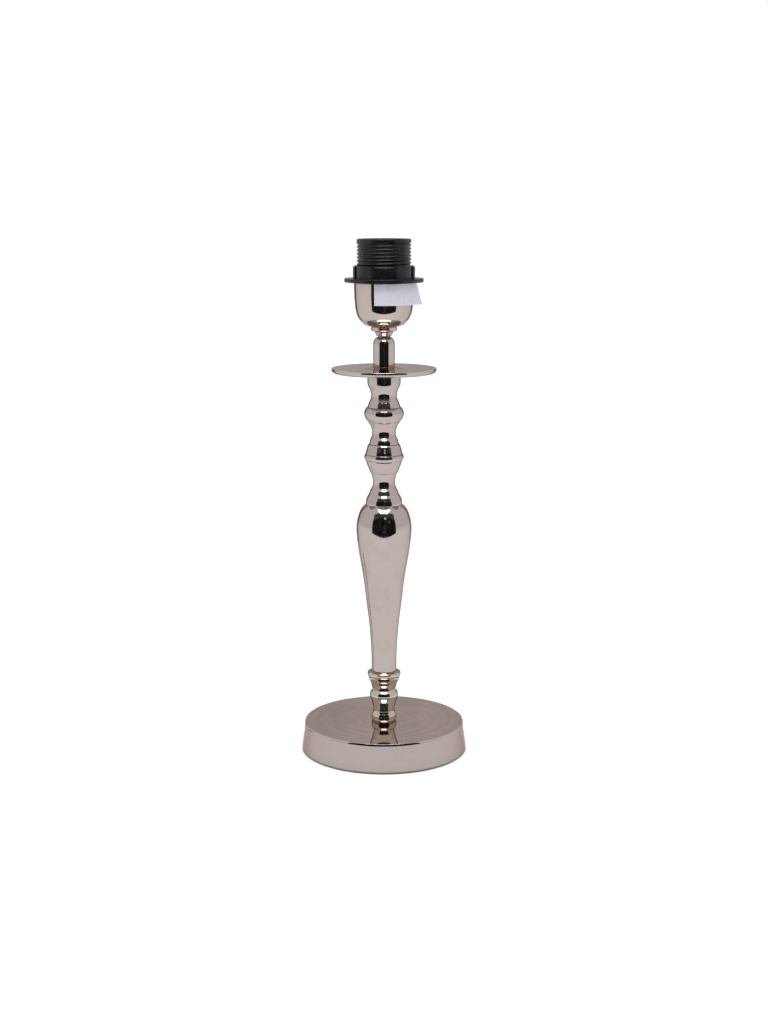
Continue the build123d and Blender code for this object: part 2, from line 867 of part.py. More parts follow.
def shade_ring():
    """Screw ring: a wide flange, a collar and four grips. Its thread is a plain running bore."""
    flange = pin_at(ring_flange_radius, cup_rim, ring_flange_thickness)
    flange = chamfer(flange.edges().filter_by(GeomType.CIRCLE), ring_flange_chamfer)
    height = ring_flange_thickness + ring_collar_height
    collar = pin_at(ring_collar_radius, cup_rim, height)
    lugs = pin_at(ring_lug_radius, cup_rim, height)
    lugs = fillet(lugs.edges().filter_by(GeomType.CIRCLE).sort_by(Axis.Z)[-1], ring_lug_edge_radius)
    bars = Part()
    for number in range(ring_lug_count // 2):
        bar = Pos(0, 0, cup_rim + height / 2) * Box(ring_lug_radius * 2 + overrun, ring_lug_width, height)
        bars += Rot(0, 0, number * full_turn / ring_lug_count) * bar
    bore = pin_at(ring_bore_radius, cup_rim - overrun, height + overrun + overrun)
    return flange + collar + (lugs & bars) - bore


def blank_label():
    """Paper label that hugs the cup and leaves it on a straight free end."""
    top = cup_rim - label_below_rim
    bottom = top - label_height
    wall_start = cup_shares[-1][-1]
    slope = cup_radius * (1 - wall_start[0]) / (cup_height * (1 - wall_start[1]))
    top_radius = cup_radius - slope * label_below_rim + label_gap
    bottom_radius = top_radius - slope * label_height
    section = Polyline(
        (bottom_radius, bottom),
        (bottom_radius + label_thickness, bottom),
        (top_radius + label_thickness, top),
        (top_radius, top),
        close=True,
    )
    front = Rot(0, 0, -full_turn / 4) * (Plane.XZ * make_face(section))
    start = Rot(0, 0, label_start_angle) * front
    wrapped = revolve(start, Axis.Z, label_wrap_angle)
    end = Rot(0, 0, label_start_angle + label_wrap_angle) * front
    along = Vector(1, 0, 0).rotate(Axis.Z, label_start_angle + label_wrap_angle)
    return wrapped + extrude(end, label_free_length, dir=along)


def threaded_rod():
    """Hollow rod through the whole column."""
    return ring_at(rod_radius, rod_bore_radius, rod_bottom, rod_top - rod_bottom)


def foot_washer():
    """Wide washer between the weight and the lock washer."""
    return ring_at(rod_hole_radius + foot_washer_rim, rod_hole_radius, washer_bottom, foot_washer_thickness)


def bottom_plate():
    """Board that closes the foot."""
    radius = foot_wall_radius(plate_top) - foot_wall - rod_play
    return pin_at(radius, felt_thickness, bottom_plate_thickness)


def column_pieces():
    """Turned pieces between the foot and the pan, each on the one below it."""
    yield "stem_collar", turned(
        stem_shares,
        stem_radius,
        stem_height,
        foot_top,
        stem_foot_radius,
        vase_foot_radius + seam_lip,
        rod_hole_radius,
    )
    yield "vase_body", vase_body()
    yield "neck_piece", turned(
        neck_shares,
        neck_radius,
        neck_height,
        neck_bottom,
        neck_radius,
        lower_knop_foot_radius - seam_lip,
        rod_hole_radius,
    )
    yield "lower_knop", turned(
        lower_knop_shares,
        lower_knop_radius,
        lower_knop_height,
        lower_knop_bottom,
        lower_knop_foot_radius,
        upper_knop_foot_radius + seam_lip,
        rod_hole_radius,
    )
    yield "upper_knop", turned(
        upper_knop_shares,
        upper_knop_radius,
        upper_knop_height,
        upper_knop_bottom,
        upper_knop_foot_radius,
        pan_seat_radius + seam_lip,
        rod_hole_radius,
    )
    yield "pan_seat", turned(
        pan_seat_shares,
        pan_seat_radius,
        pan_seat_height,
        pan_seat_bottom,
        pan_seat_radius,
        pan_seat_radius,
        rod_hole_radius,
    )


def foot_pieces():
    """Everything in and under the foot."""
    shell = foot_shell()
    yield "foot_felt", pin_at(foot_radius - felt_inset, 0, felt_thickness)
    yield "foot_shell", shell
    yield "bottom_plate", bottom_plate()
    yield "cord_bush", cord_bush(shell)
    yield "foot_weight", foot_weight()
    yield "foot_washer", foot_washer()
    yield "foot_lock_washer", lock_washer()
    yield "foot_nut", foot_nut()
    yield "rod_end_bush", rod_end_bush()


def holder_pieces():
    """Cup, lampholder and what the lampholder holds."""
    yield "seat_nut", seat_nut()
    yield "holder_cup", holder_cup()
    yield "cup_washer", cup_washer()
    yield "holder_cap", holder_cap()
    yield "cap_insert", cap_insert()
    yield "cap_lock_screw", cap_lock_screw()
    yield "holder_skirt", skirt_blank() - barrel_groove()
    yield "contact_block", contact_block()
    yield "screw_shell", screw_shell()
    yield "shell_rivets", shell_rivets()
    yield "neutral_rivet", neutral_rivet()
    yield "contact_rivet", contact_rivet()
    yield "centre_contact", centre_contact()
    yield "line_terminal", terminal(leaf_rivet_place, line_terminal_place)
    yield "neutral_terminal", terminal(-shell_rivet_circle, neutral_terminal_place)
    screws = [terminal_screw(line_terminal_place), terminal_screw(neutral_terminal_place)]
    yield "terminal_screws", group(screws)
    yield "shade_ring", shade_ring()
    yield "blank_label", blank_label()


pieces = dict(foot_pieces())
pieces["threaded_rod"] = threaded_rod()
pieces.update(column_pieces())
pieces["drip_pan"] = drip_pan()
pieces["neck_tube"] = neck_tube()
pieces.update(holder_pieces())

for name, shape in pieces.items():
    export_step(shape, "parts/" + name + ".step")
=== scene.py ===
import math

import bmesh
import bpy
import numpy as np
from bpy.props import FloatProperty, FloatVectorProperty, IntProperty, PointerProperty
from mathutils import Matrix, Vector


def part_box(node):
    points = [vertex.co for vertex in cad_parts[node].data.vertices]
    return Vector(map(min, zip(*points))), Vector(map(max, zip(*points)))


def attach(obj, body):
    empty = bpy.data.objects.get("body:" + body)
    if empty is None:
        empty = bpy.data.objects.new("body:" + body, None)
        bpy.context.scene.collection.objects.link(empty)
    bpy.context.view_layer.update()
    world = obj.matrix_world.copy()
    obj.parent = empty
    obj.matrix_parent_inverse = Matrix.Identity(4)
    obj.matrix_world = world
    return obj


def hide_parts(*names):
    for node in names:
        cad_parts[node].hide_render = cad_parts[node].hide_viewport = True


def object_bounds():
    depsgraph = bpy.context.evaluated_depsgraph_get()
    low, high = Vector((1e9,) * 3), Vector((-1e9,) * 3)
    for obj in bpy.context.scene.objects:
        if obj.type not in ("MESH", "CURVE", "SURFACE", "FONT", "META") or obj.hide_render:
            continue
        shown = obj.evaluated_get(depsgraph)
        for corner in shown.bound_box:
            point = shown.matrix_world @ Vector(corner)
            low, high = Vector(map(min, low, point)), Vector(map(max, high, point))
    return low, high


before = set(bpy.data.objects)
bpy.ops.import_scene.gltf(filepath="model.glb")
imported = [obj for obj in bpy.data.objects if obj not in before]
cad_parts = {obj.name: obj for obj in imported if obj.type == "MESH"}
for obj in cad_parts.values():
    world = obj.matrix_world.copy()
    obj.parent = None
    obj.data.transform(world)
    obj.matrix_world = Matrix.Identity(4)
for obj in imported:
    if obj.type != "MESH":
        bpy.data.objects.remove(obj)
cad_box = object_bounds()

bl_info = {
    "name": "Turned Table Lamp",
    "version": (1, 0, 0),
    "blender": (4, 5, 0),
    "location": "View3D > Sidebar > Lamp",
    "description": "Polished nickel lamp base with a threaded lampholder, in a pale studio",
    "category": "Object",
}

FULL_TURN = 2 * math.pi
QUARTER_TURN = math.pi / 2
MERGE_DISTANCE = 1e-6
HARD_EDGE = math.radians(32)
CORNER_ANGLE = math.radians(9)

# Outlines of the turned pieces. Each run goes on from the one below it: one more point makes a
# line, two an arc and three or more a smooth curve. A point is a share of the piece's radius and
# a share of its height.
STEM_SHARES = (
    ((0.754, 0.079), (0.659, 0.164)),
    ((0.631, 0.210), (0.655, 0.271), (0.706, 0.340), (0.762, 0.402), (0.817, 0.448), (0.853, 0.478)),
    ((0.857, 0.527), (0.786, 0.583)),
    ((0.697, 0.611),),
    ((0.722, 0.665), (0.762, 0.706), (0.810, 0.747), (0.837, 0.785)),
    ((0.885, 0.801),),
    ((0.929, 0.844), (0.956, 0.885)),
    ((0.990, 0.912), (1.0, 0.940), (0.978, 0.966), (0.900, 0.985)),
)
VASE_SHARES = (
    (
        (0.461, 0.068),
        (0.480, 0.151),
        (0.520, 0.240),
        (0.571, 0.324),
        (0.633, 0.400),
        (0.697, 0.490),
        (0.769, 0.577),
        (0.844, 0.647),
        (0.917, 0.716),
        (0.972, 0.784),
        (0.997, 0.833),
        (0.998, 0.873),
        (0.972, 0.904),
        (0.907, 0.941),
        (0.813, 0.974),
    ),
)
NECK_SHARES = (
    ((0.984, 0.100), (0.946, 0.180), (0.880, 0.262)),
    ((0.808, 0.335), (0.742, 0.437), (0.655, 0.527), (0.606, 0.650), (0.608, 0.740), (0.650, 0.860)),
)
LOWER_KNOP_SHARES = (
    ((0.785, 0.130), (0.845, 0.240), (0.910, 0.388)),
    ((0.912, 0.428),),
    ((0.948, 0.440),),
    ((1.0, 0.545), (0.972, 0.632)),
    ((0.945, 0.645),),
    ((0.898, 0.775), (0.860, 0.868), (0.818, 0.955)),
)
UPPER_KNOP_SHARES = (
    ((0.706, 0.115), (0.624, 0.205), (0.597, 0.305), (0.620, 0.400), (0.688, 0.495), (0.792, 0.588)),
    ((0.794, 0.608),),
    ((0.835, 0.618),),
    ((0.925, 0.690), (0.980, 0.760), (1.0, 0.835), (0.985, 0.895), (0.945, 0.945)),
)
PAN_SEAT_SHARES = (
    (
        (0.948, 0.080),
        (0.853, 0.195),
        (0.788, 0.280),
        (0.779, 0.360),
        (0.826, 0.480),
        (0.882, 0.545),
        (0.945, 0.600),
        (0.985, 0.665),
        (1.0, 0.760),
    ),
    (),
)
TUBE_SHARES = (
    ((1.0, 0.790),),
    ((0.965, 0.870), (0.885, 0.930), (0.780, 0.972)),
)
CUP_SHARES = (
    ((0.432, 0.018), (0.433, 0.060)),
    ((0.432, 0.082),),
    (
        (0.537, 0.105),
        (0.650, 0.133),
        (0.750, 0.186),
        (0.830, 0.242),
        (0.895, 0.320),
        (0.945, 0.430),
        (0.967, 0.534),
    ),
)
FOOT_WALL_SHARES = ((0.078, 0.08), (0.357, 0.35), (0.739, 0.68))

# Cards that only show in reflections: name, brightness, unevenness, direction round from the front
# in degrees, distance, half width, half height, level, slope (90 is upright) and roll in degrees.
CARDS = (
    ("front_card", 0.020, 0.70, 0.0, 0.52, 0.620, 0.2275, 0.2275, 90.0, 0.0),
    ("front_haze", 0.100, 0.40, 0.0, 0.52, 0.600, 0.1700, 0.6250, 90.0, 0.0),
    ("front_slot", 0.900, 0.20, 5.0, 0.515, 0.046, 0.016, 0.430, 90.0, -4.0),
    ("front_patch", 0.150, 0.60, 22.0, 0.54, 0.040, 0.035, 0.350, 90.0, 20.0),
    ("front_post", 0.045, 0.50, 3.0, 0.515, 0.055, 0.120, 0.170, 90.0, 0.0),
    ("softbox", 6.500, 0.05, 0.0, 0.70, 0.480, 0.550, 1.500, 0.0, 0.0),
    ("softbox_edge", 5.000, 0.05, 0.0, 0.50, 0.185, 0.090, 0.755, 90.0, 0.0),
    ("left_strip", 0.120, 0.40, -142.0, 0.60, 0.060, 0.200, 0.200, 90.0, 0.0),
    ("left_mark", 0.060, 0.40, -112.0, 0.27, 0.011, 0.130, 0.001, 0.0, 0.0),
    ("left_outer_mark", 0.250, 0.40, -138.0, 0.36, 0.016, 0.240, 0.001, 0.0, 0.0),
    ("right_strip", 0.250, 0.40, 142.0, 0.60, 0.050, 0.200, 0.200, 90.0, 0.0),
    ("right_mark", 0.600, 0.40, 139.0, 0.36, 0.013, 0.240, 0.001, 0.0, 0.0),
    ("rear_card", 0.600, 0.10, 180.0, 1.60, 1.500, 0.800, 0.800, 90.0, 0.0),
    ("rear_ceiling", 0.400, 0.20, 180.0, 0.90, 1.200, 0.700, 1.600, 0.0, 0.0),
)


def length(name, description, default):
    """Length property in metres."""
    return FloatProperty(
        name=name, description=description, default=default, min=0.0, precision=5, unit="LENGTH"
    )


def share(name, description, default, most=1.0):
    """Plain factor, from zero."""
    return FloatProperty(name=name, description=description, default=default, min=0.0, max=most)


def angle(name, description, default):
    """Angle property, given in degrees and kept in radians."""
    return FloatProperty(
        name=name, description=description, default=math.radians(default), subtype="ANGLE"
    )


def colour(name, description, default):
    """Linear colour property."""
    return FloatVectorProperty(
        name=name, description=description, default=default, size=3, min=0.0, max=1.0, subtype="COLOR"
    )


def node_bottom(node):
    """Lowest level of a CAD node."""
    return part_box(node)[0].z


def node_top(node):
    """Highest level of a CAD node."""
    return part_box(node)[1].z


def node_reach(node):
    """Greatest distance of a CAD node from the rod's axis along X."""
    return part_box(node)[1].x


class LampTurning(bpy.types.PropertyGroup):
    """How finely the turned pieces are cut."""

    steps: IntProperty(
        name="Steps", description="Faces round a turned piece", default=192, min=12, max=512
    )
    ring_step: length("Ring spacing", "Distance between the rings of faces on a shown surface", 0.00045)
    corner: length("Corner", "How far a turned corner is broken by polishing", 0.00010)
    rod_hole: length("Rod hole", "Radius of the hole that the rod passes through", 0.0052)
    thread_hole: length("Threaded hole", "Radius of the holes that are screwed on the rod", 0.00505)
    seam_lip: length("Seam lip", "How far a piece stands proud of the next at a seam", 0.0005)


class LampFoot(bpy.types.PropertyGroup):
    """Sizes of the foot."""

    taper: length("Taper", "How much narrower the foot is at its top", 0.0024)
    wall: length("Wall", "Thickness of the foot's wall and top", 0.0022)
    edge: length("Edge", "Radius of the swell under the top edge", 0.0049)
    edge_start: angle("Edge start", "Slope of the wall where the swell begins", 6.5)
    edge_end: angle("Edge end", "Slope of the swell at the top edge", 26.0)
    felt: length("Felt", "Thickness of the felt under the foot", 0.0008)
    inlet_hole: length("Inlet hole", "Radius of the hole for the inlet bush", 0.0049)
    inlet_level: length("Inlet level", "Height of the middle of the inlet hole", 0.0086)


class LampColumn(bpy.types.PropertyGroup):
    """Seats of the column's turned pieces, each on the one below."""

    stem_foot: length("Stem seat", "Radius of the stem where it stands on the foot", 0.0085)
    vase_foot: length("Vase seat", "Radius of the vase's lower end", 0.00942)
    lower_knop_foot: length("Lower knop seat", "Radius of the lower knop's lower end", 0.0104)
    upper_knop_foot: length("Upper knop seat", "Radius of the upper knop's lower end", 0.0109)


class LampPan(bpy.types.PropertyGroup):
    """Sizes of the pan and the tube on it."""

    boss: length("Boss", "Radius of the raised middle", 0.0158)
    boss_height: length("Boss height", "Height of the raised middle", 0.0011)
    boss_slope: length("Boss slope", "Width of the slope round the raised middle", 0.0070)
    rim: length("Rim", "Radius of the rim's rounding", 0.0027)
    rim_end: angle("Rim end", "Slope of the rim at its upper edge", 20.0)
    tube_wall: length("Tube wall", "Wall of the tube above the pan", 0.00152)
    tube_thread: length("Tube thread", "Length of the thread in the tube's mouth", 0.0050)
    tube_mouth: length("Tube mouth", "Radius of the tube's mouth", 0.0053)


class LampHolder(bpy.types.PropertyGroup):
    """Sizes of the cup, the lampholder and its shell."""

    cup_boss: length("Cup boss", "Radius of the cup's small foot", 0.0084)
    cup_wall: length("Cup wall", "Thickness of the cup", 0.0009)
    cup_floor: length("Cup floor", "Thickness of the cup's floor over the boss", 0.0038)
    nut_wall: length("Nut wall", "Wall of the ring nut under the cup", 0.0017)
    nut_taper: length("Nut taper", "How much narrower the ring nut is at its foot", 0.0010)
    nut_rim: length("Nut rim", "Height of the ring nut's straight rim", 0.0008)
    nut_chamfer: length("Nut chamfer", "Chamfer at the ring nut's top", 0.0003)
    barrel: length("Barrel", "Radius over the barrel's thread", 0.01975)
    thread_depth: length("Thread depth", "Depth of the barrel's thread", 0.00085)
    pitch: length("Thread pitch", "Rise of the barrel's thread in one turn", 0.0025)
    crest: length("Thread crest", "Width of the thread's flat top", 0.0005)
    root: length("Thread root", "Width of the groove's floor", 0.00055)
    plain_foot: length("Plain foot", "Height of the barrel below its thread", 0.0020)
    plain_top: length("Plain top", "Height of the band above the thread", 0.0030)
    skirt_step: length("Foot step", "How far the skirt's foot stands back from the barrel", 0.00055)
    skirt_foot: length("Foot height", "Height of the skirt's narrower foot", 0.0050)
    skirt_wall: length("Skirt wall", "Wall behind the thread", 0.0016)
    ledge: length("Ledge", "Width of the ledge over the contact block", 0.0008)
    lip_height: length("Lip height", "Height of the lip round the mouth", 0.0032)
    lip_reach: length("Lip reach", "How far the lip stands in", 0.0018)
    lip_chamfer: length("Lip chamfer", "Chamfer of the lip", 0.0014)
    top_chamfer: length("Top chamfer", "Chamfer of the barrel's top edge", 0.0007)
    shell: length("Shell", "Inner radius of the lamp's threaded shell at its widest", 0.01325)
    shell_depth: length("Shell thread", "Depth of the rolled thread", 0.00105)
    shell_pitch: length("Shell pitch", "Rise of the rolled thread in one turn", 0.00363)
    shell_wall: length("Shell wall", "Thickness of the rolled sheet", 0.0004)
    shell_hole: length("Shell hole", "Radius of the hole in the shell's floor", 0.0099)
    shell_foot: length("Shell foot", "Plain height under the rolled thread", 0.0026)


class LampRod(bpy.types.PropertyGroup):
    """Sizes of the hollow threaded rod."""

    bore: length("Bore", "Radius of the rod's bore", 0.00375)
    pitch: length("Pitch", "Rise of the rod's thread in one turn", 0.0010)
    depth: length("Depth", "Depth of the rod's thread", 0.00055)
    low_thread: length("Lower thread", "Length of the thread at the lower end", 0.0160)
    high_thread: length("Upper thread", "Length of the thread at the upper end", 0.0240)


class LampLabel(bpy.types.PropertyGroup):
    """Sizes of the paper label on the cup."""

    thickness: length("Thickness", "Thickness of the paper", 0.00015)
    lean: length("Lean", "How much nearer to the axis its lower edge is", 0.00040)
    radius: length("Radius", "Distance of its upper edge from the axis", 0.02184)
    start: angle("Start", "Where it starts, round from the front", -19.0)
    wrap: angle("Wrap", "How far it follows the cup", 68.0)
    free: length("Free end", "Length of its lower edge that leaves the cup", 0.0164)
    slant: length("Slant", "How much shorter its upper edge is", 0.0062)
    curl: angle("Curl", "How far the free end turns outwards", 9.0)


class LampColours(bpy.types.PropertyGroup):
    """Colours of the lamp's finishes."""

    nickel: colour("Nickel", "Polished nickel plate", (0.394, 0.342, 0.329))
    worn_nickel: colour("Worn nickel", "Nickel of the foot's and the pan's top", (0.640, 0.550, 0.525))
    foot_nickel: colour("Foot nickel", "Duller nickel of the foot's side", (0.355, 0.307, 0.292))
    stem_nickel: colour("Stem nickel", "Yellower nickel of the stem", (0.440, 0.405, 0.345))
    nickel_edge: colour("Nickel edge", "Nickel where it is seen at a low angle", (0.60, 0.52, 0.48))
    tarnish: colour("Tarnish", "Warm tarnish on the nickel", (0.330, 0.245, 0.165))
    bloom: colour("Bloom", "Yellow bloom on the cup", (0.560, 0.470, 0.300))
    # Also the colour of the bands of painted shade at the column's seams and along the foot's lower edge.
    stain_and_shade: colour("Stain", "Dark spots on the nickel", (0.105, 0.085, 0.050))
    holder: colour("Lampholder", "Moulded black plastic", (0.0050, 0.0049, 0.0049))
    label: colour("Label", "Paper of the label", (0.600, 0.590, 0.670))
    zinc: colour("Zinc plate", "Fasteners and washers", (0.420, 0.415, 0.380))
    iron: colour("Cast iron", "Painted casting in the foot", (0.030, 0.031, 0.033))
    felt: colour("Felt", "Felt under the foot", (0.012, 0.012, 0.013))
    board: colour("Board", "Pressed board that closes the foot", (0.205, 0.135, 0.080))
    rubber: colour("Rubber", "Inlet bush", (0.020, 0.020, 0.021))
    nylon: colour("Nylon", "Bush on the rod's end", (0.540, 0.530, 0.480))
    ceramic: colour("Ceramic", "Contact block", (0.740, 0.700, 0.630))
    brass: colour("Brass", "Terminals, rivets and insert", (0.560, 0.370, 0.110))
    shell: colour("Shell", "Rolled sheet of the lamp's shell", (0.570, 0.430, 0.190))
    bronze: colour("Bronze", "Sprung contact", (0.500, 0.260, 0.105))


class LampStudio(bpy.types.PropertyGroup):
    """Floor, light, reflecting cards and camera."""

    floor: length("Floor", "Radius of the floor", 6.0)
    floor_tone: share("Floor tone", "How much light the floor gives back", 0.96)
    floor_lift: share("Floor lift", "Brightness added to the floor where it is seen", 0.30)
    fill: share("Fill", "Light of the pale surroundings on the lamp", 0.92, 4.0)
    key_energy: FloatProperty(
        name="Key light", description="Power of the soft light above the camera", default=4.4,
        min=0.0, unit="POWER",
    )
    key_width: length("Key width", "Width of the soft light", 1.0)
    key_height: length("Key height", "Height of the soft light", 0.45)
    key_distance: length("Key distance", "Distance of the soft light from the lamp", 1.5)
    key_elevation: angle("Key elevation", "Elevation of the soft light", 46.5)
    card_gain: share("Card gain", "How bright the reflecting cards are, against their own tones", 1.0, 4.0)
    lens: FloatProperty(name="Lens", description="Focal length of the camera", default=57.83, unit="CAMERA")
    camera_distance: length("Camera distance", "Distance of the camera from the rod's axis", 1.188)
    camera_level: length("Camera level", "Height of the camera", 0.4071)
    camera_tilt: angle("Camera tilt", "How far the camera looks down", 10.54)


class LampSettings(bpy.types.PropertyGroup):
    """All sizes and colours of the lamp."""

    turning: PointerProperty(type=LampTurning)
    foot: PointerProperty(type=LampFoot)
    column: PointerProperty(type=LampColumn)
    pan: PointerProperty(type=LampPan)
    holder: PointerProperty(type=LampHolder)
    rod: PointerProperty(type=LampRod)
    label: PointerProperty(type=LampLabel)
    colours: PointerProperty(type=LampColours)
    studio: PointerProperty(type=LampStudio)


class Finish:
    """One material while its nodes are put together."""

    def __init__(self, name):
        self.material = bpy.data.materials.new(name)
        self.material.use_nodes = True
        self.tree = self.material.node_tree
        self.shader = self.tree.nodes["Principled BSDF"]
        self.place = self.add("TexCoord").outputs["Object"]

    def add(self, kind, inputs=(), **settings):
        """Adds a node. Inputs are pairs of a socket and either a value or the output that feeds it."""
        node = self.tree.nodes.new("ShaderNode" + kind)
        for key, value in settings.items():
            setattr(node, key, value)
        for socket, value in inputs:
            self.feed(node.inputs[socket], value)
        return node

    def feed(self, socket, value):
        """Links an output to a socket, or sets the socket's value."""
        if isinstance(value, bpy.types.NodeSocket):
            self.tree.links.new(value, socket)
        else:
            socket.default_value = value

    def shade(self, **inputs):
        """Sets or links the shader's sockets."""
        for name, value in inputs.items():
            self.feed(self.shader.inputs[name.replace("_", " ")], value)

    def noise(self, scale, detail=3.0, roughness=0.5, stretch=None, distortion=0.0):
        """Noise with a number of features to the metre."""
        inputs = (
            ("Vector", self.stretched(stretch)),
            ("Scale", scale),
            ("Detail", detail),
            ("Roughness", roughness),
            ("Distortion", distortion),
        )
        return self.add("TexNoise", inputs).outputs[0]

    def stretched(self, stretch):
        """Object place, scaled along its axes."""
        if stretch is None:
            return self.place
        return self.add("Mapping", (("Vector", self.place), ("Scale", stretch))).outputs[0]

    def cells(self, scale, output="Distance", stretch=None):
        """Scattered cells with a number to the metre."""
        inputs = (("Vector", self.stretched(stretch)), ("Scale", scale))
        return self.add("TexVoronoi", inputs).outputs[output]

    def calc(self, operation, first, second=0.0, clamp=False):
        """Arithmetic on two values."""
        node = self.add("Math", ((0, first), (1, second)), operation=operation, use_clamp=clamp)
        return node.outputs[0]

    def between(self, value, low, high, to_low=0.0, to_high=1.0):
        """Maps a range of a value on another range, without going outside it."""
        inputs = (
            ("Value", value),
            ("From Min", low),
            ("From Max", high),
            ("To Min", to_low),
            ("To Max", to_high),
        )
        return self.add("MapRange", inputs, interpolation_type="SMOOTHSTEP").outputs[0]

    def blend(self, factor, first, second):
        """Mixes two colours."""
        inputs = ((0, factor), (6, rgba(first)), (7, rgba(second)))
        return self.add("Mix", inputs, data_type="RGBA").outputs[2]

    def bump(self, height, distance, strength=1.0):
        """Turns a height into a normal, on top of the bumps before it."""
        inputs = [("Height", height), ("Distance", distance), ("Strength", strength)]
        normal = self.shader.inputs["Normal"]
        if normal.links:
            inputs.append(("Normal", normal.links[0].from_socket))
        self.shade(Normal=self.add("Bump", inputs).outputs[0])

    def streaked(self, tone):
        """Colour with soft darker streaks that run round the rod's axis."""
        flat = self.add("SeparateXYZ", (("Vector", self.place),)).outputs
        turn = self.calc("ARCTAN2", flat["Y"], flat["X"])
        across = self.calc("MULTIPLY", self.from_axis(), 230.0)
        along = self.add("CombineXYZ", (("X", across), ("Y", self.calc("MULTIPLY", turn, 1.3)))).outputs[0]
        streaks = self.add("TexNoise", (("Vector", along), ("Scale", 1.0), ("Detail", 3.0))).outputs[0]
        dark = tuple(value * 0.91 for value in tone)
        return self.blend(self.between(streaks, 0.42, 0.66), tone, dark)

    def level(self):
        """Height above the floor."""
        return self.add("SeparateXYZ", (("Vector", self.place),)).outputs["Z"]

    def from_axis(self):
        """Distance from the rod's axis."""
        flat = self.add("VectorMath", ((0, self.place), (1, (1.0, 1.0, 0.0))), operation="MULTIPLY")
        return self.add("VectorMath", ((0, flat.outputs[0]),), operation="LENGTH").outputs["Value"]


def rgba(value):
    """Colour with its alpha, unless it is an output."""
    if isinstance(value, bpy.types.NodeSocket):
        return value
    return (*value, 1.0)


def nickel_finish(name, colours, tone=None, tarnish=0.35, spots=0.25, rings=0.0, top=None, shade_bands=()):
    """Polished nickel plate: polishing haze, slow waves, pits, warm tarnish, a few stains and bands of painted shade.
    """
    made = Finish(name)
    clouds = made.between(made.noise(42.0, 5.0, 0.62), 0.50, 0.74)
    warm = made.calc("MULTIPLY", clouds, tarnish)
    base = made.blend(warm, tone or colours.nickel, colours.tarnish)
    if top:
        face = made.between(made.level(), top - 0.0006, top - 0.0001)
        base = made.blend(face, base, made.streaked(colours.worn_nickel))
    # Painted shade: a dark band in the stain colour at each of the given levels.
    for groove in shade_bands:
        away = made.calc("ABSOLUTE", made.calc("SUBTRACT", made.level(), groove))
        base = made.blend(made.between(away, 0.00040, 0.00012, 0.0, 0.6), base, colours.stain_and_shade)
    picked = made.between(made.noise(60.0, 2.0), 0.56, 0.66)
    dots = made.between(made.cells(420.0), 0.20, 0.06)
    stains = made.calc("MULTIPLY", made.calc("MULTIPLY", dots, picked), spots)
    base = made.blend(stains, base, colours.stain_and_shade)
    pits = made.between(made.cells(1500.0), 0.16, 0.05)
    few = made.between(made.noise(240.0, 2.0), 0.60, 0.68)
    pits = made.calc("MULTIPLY", pits, few)
    base = made.blend(made.calc("MULTIPLY", pits, 0.6), base, colours.stain_and_shade)
    haze = made.between(made.noise(150.0, 4.0, 0.6, stretch=(1.0, 1.0, 3.0)), 0.35, 0.75, 0.035, 0.085)
    rough = made.calc("ADD", haze, made.calc("MULTIPLY", stains, 0.5))
    made.shade(Base_Color=base, Metallic=1.0, Roughness=made.calc("ADD", rough, made.calc("MULTIPLY", pits, 0.3)))
    made.shade(Specular_Tint=rgba(colours.nickel_edge))
    made.bump(made.noise(70.0, 2.0, 0.4), 0.000010)
    made.bump(made.calc("MULTIPLY", pits, -1.0), 0.00002)
    if rings:
        away = made.from_axis()
        wobble = made.calc("ADD", away, made.calc("MULTIPLY", made.noise(30.0, 2.0), 0.0008))
        fine = made.calc("SINE", made.calc("MULTIPLY", wobble, FULL_TURN * 1400.0))
        broad = made.calc("SINE", made.calc("MULTIPLY", wobble, FULL_TURN * 290.0))
        marks = made.calc("ADD", fine, made.calc("MULTIPLY", broad, 1.5))
        made.bump(made.calc("MULTIPLY", marks, rings), 0.0000006)
    return made.material


def cup_finish(name, colours):
    """Nickel of the cup, whose underside has gone warm and spotted."""
    made = Finish(name)
    bottom = node_bottom("holder_cup")
    low = made.between(made.level(), bottom + 0.0150, bottom + 0.0010)
    clouds = made.between(made.noise(75.0, 5.0, 0.6), 0.40, 0.66)
    warm = made.calc("MULTIPLY", clouds, made.between(low, 0.0, 1.0, 0.20, 0.75))
    base = made.blend(warm, colours.nickel, colours.bloom)
    dots = made.between(made.noise(260.0, 4.0, 0.7), 0.64, 0.72)
    stains = made.calc("MULTIPLY", dots, made.between(low, 0.1, 1.0, 0.04, 0.35))
    base = made.blend(stains, base, colours.stain_and_shade)
    haze = made.between(made.noise(160.0, 4.0, 0.6), 0.35, 0.75, 0.05, 0.11)
    made.shade(Base_Color=base, Metallic=1.0, Roughness=made.calc("ADD", haze, made.calc("MULTIPLY", stains, 0.35)))
    made.shade(Specular_Tint=rgba(colours.nickel_edge))
    made.bump(made.noise(80.0, 2.0, 0.4), 0.000012)
    made.bump(made.calc("MULTIPLY", stains, -1.0), 0.00003)
    return made.material


def black_plastic_finish(name, tone, roughness):
    """Moulded black plastic: fine grain, flow marks, rubbed places and dust."""
    made = Finish(name)
    flow = made.noise(55.0, 4.0, 0.55, stretch=(1.0, 1.0, 2.5))
    light = tuple(min(1.0, value * 1.9 + 0.002) for value in tone)
    base = made.blend(made.between(flow, 0.35, 0.75), tone, light)
    dust = made.between(made.cells(1300.0), 0.11, 0.04)
    dust = made.calc("MULTIPLY", dust, made.between(made.noise(180.0, 2.0), 0.55, 0.70))
    base = made.blend(made.calc("MULTIPLY", dust, 0.35), base, (0.22, 0.21, 0.20))
    rough = made.between(made.noise(210.0, 4.0, 0.6), 0.3, 0.75, roughness, roughness + 0.14)
    made.shade(Base_Color=base, Roughness=rough, IOR=1.49, Specular_IOR_Level=0.25)
    made.bump(made.noise(2600.0, 3.0, 0.6), 0.000012, 0.8)
    made.bump(made.noise(120.0, 2.0), 0.00003, 0.6)
    return made.material


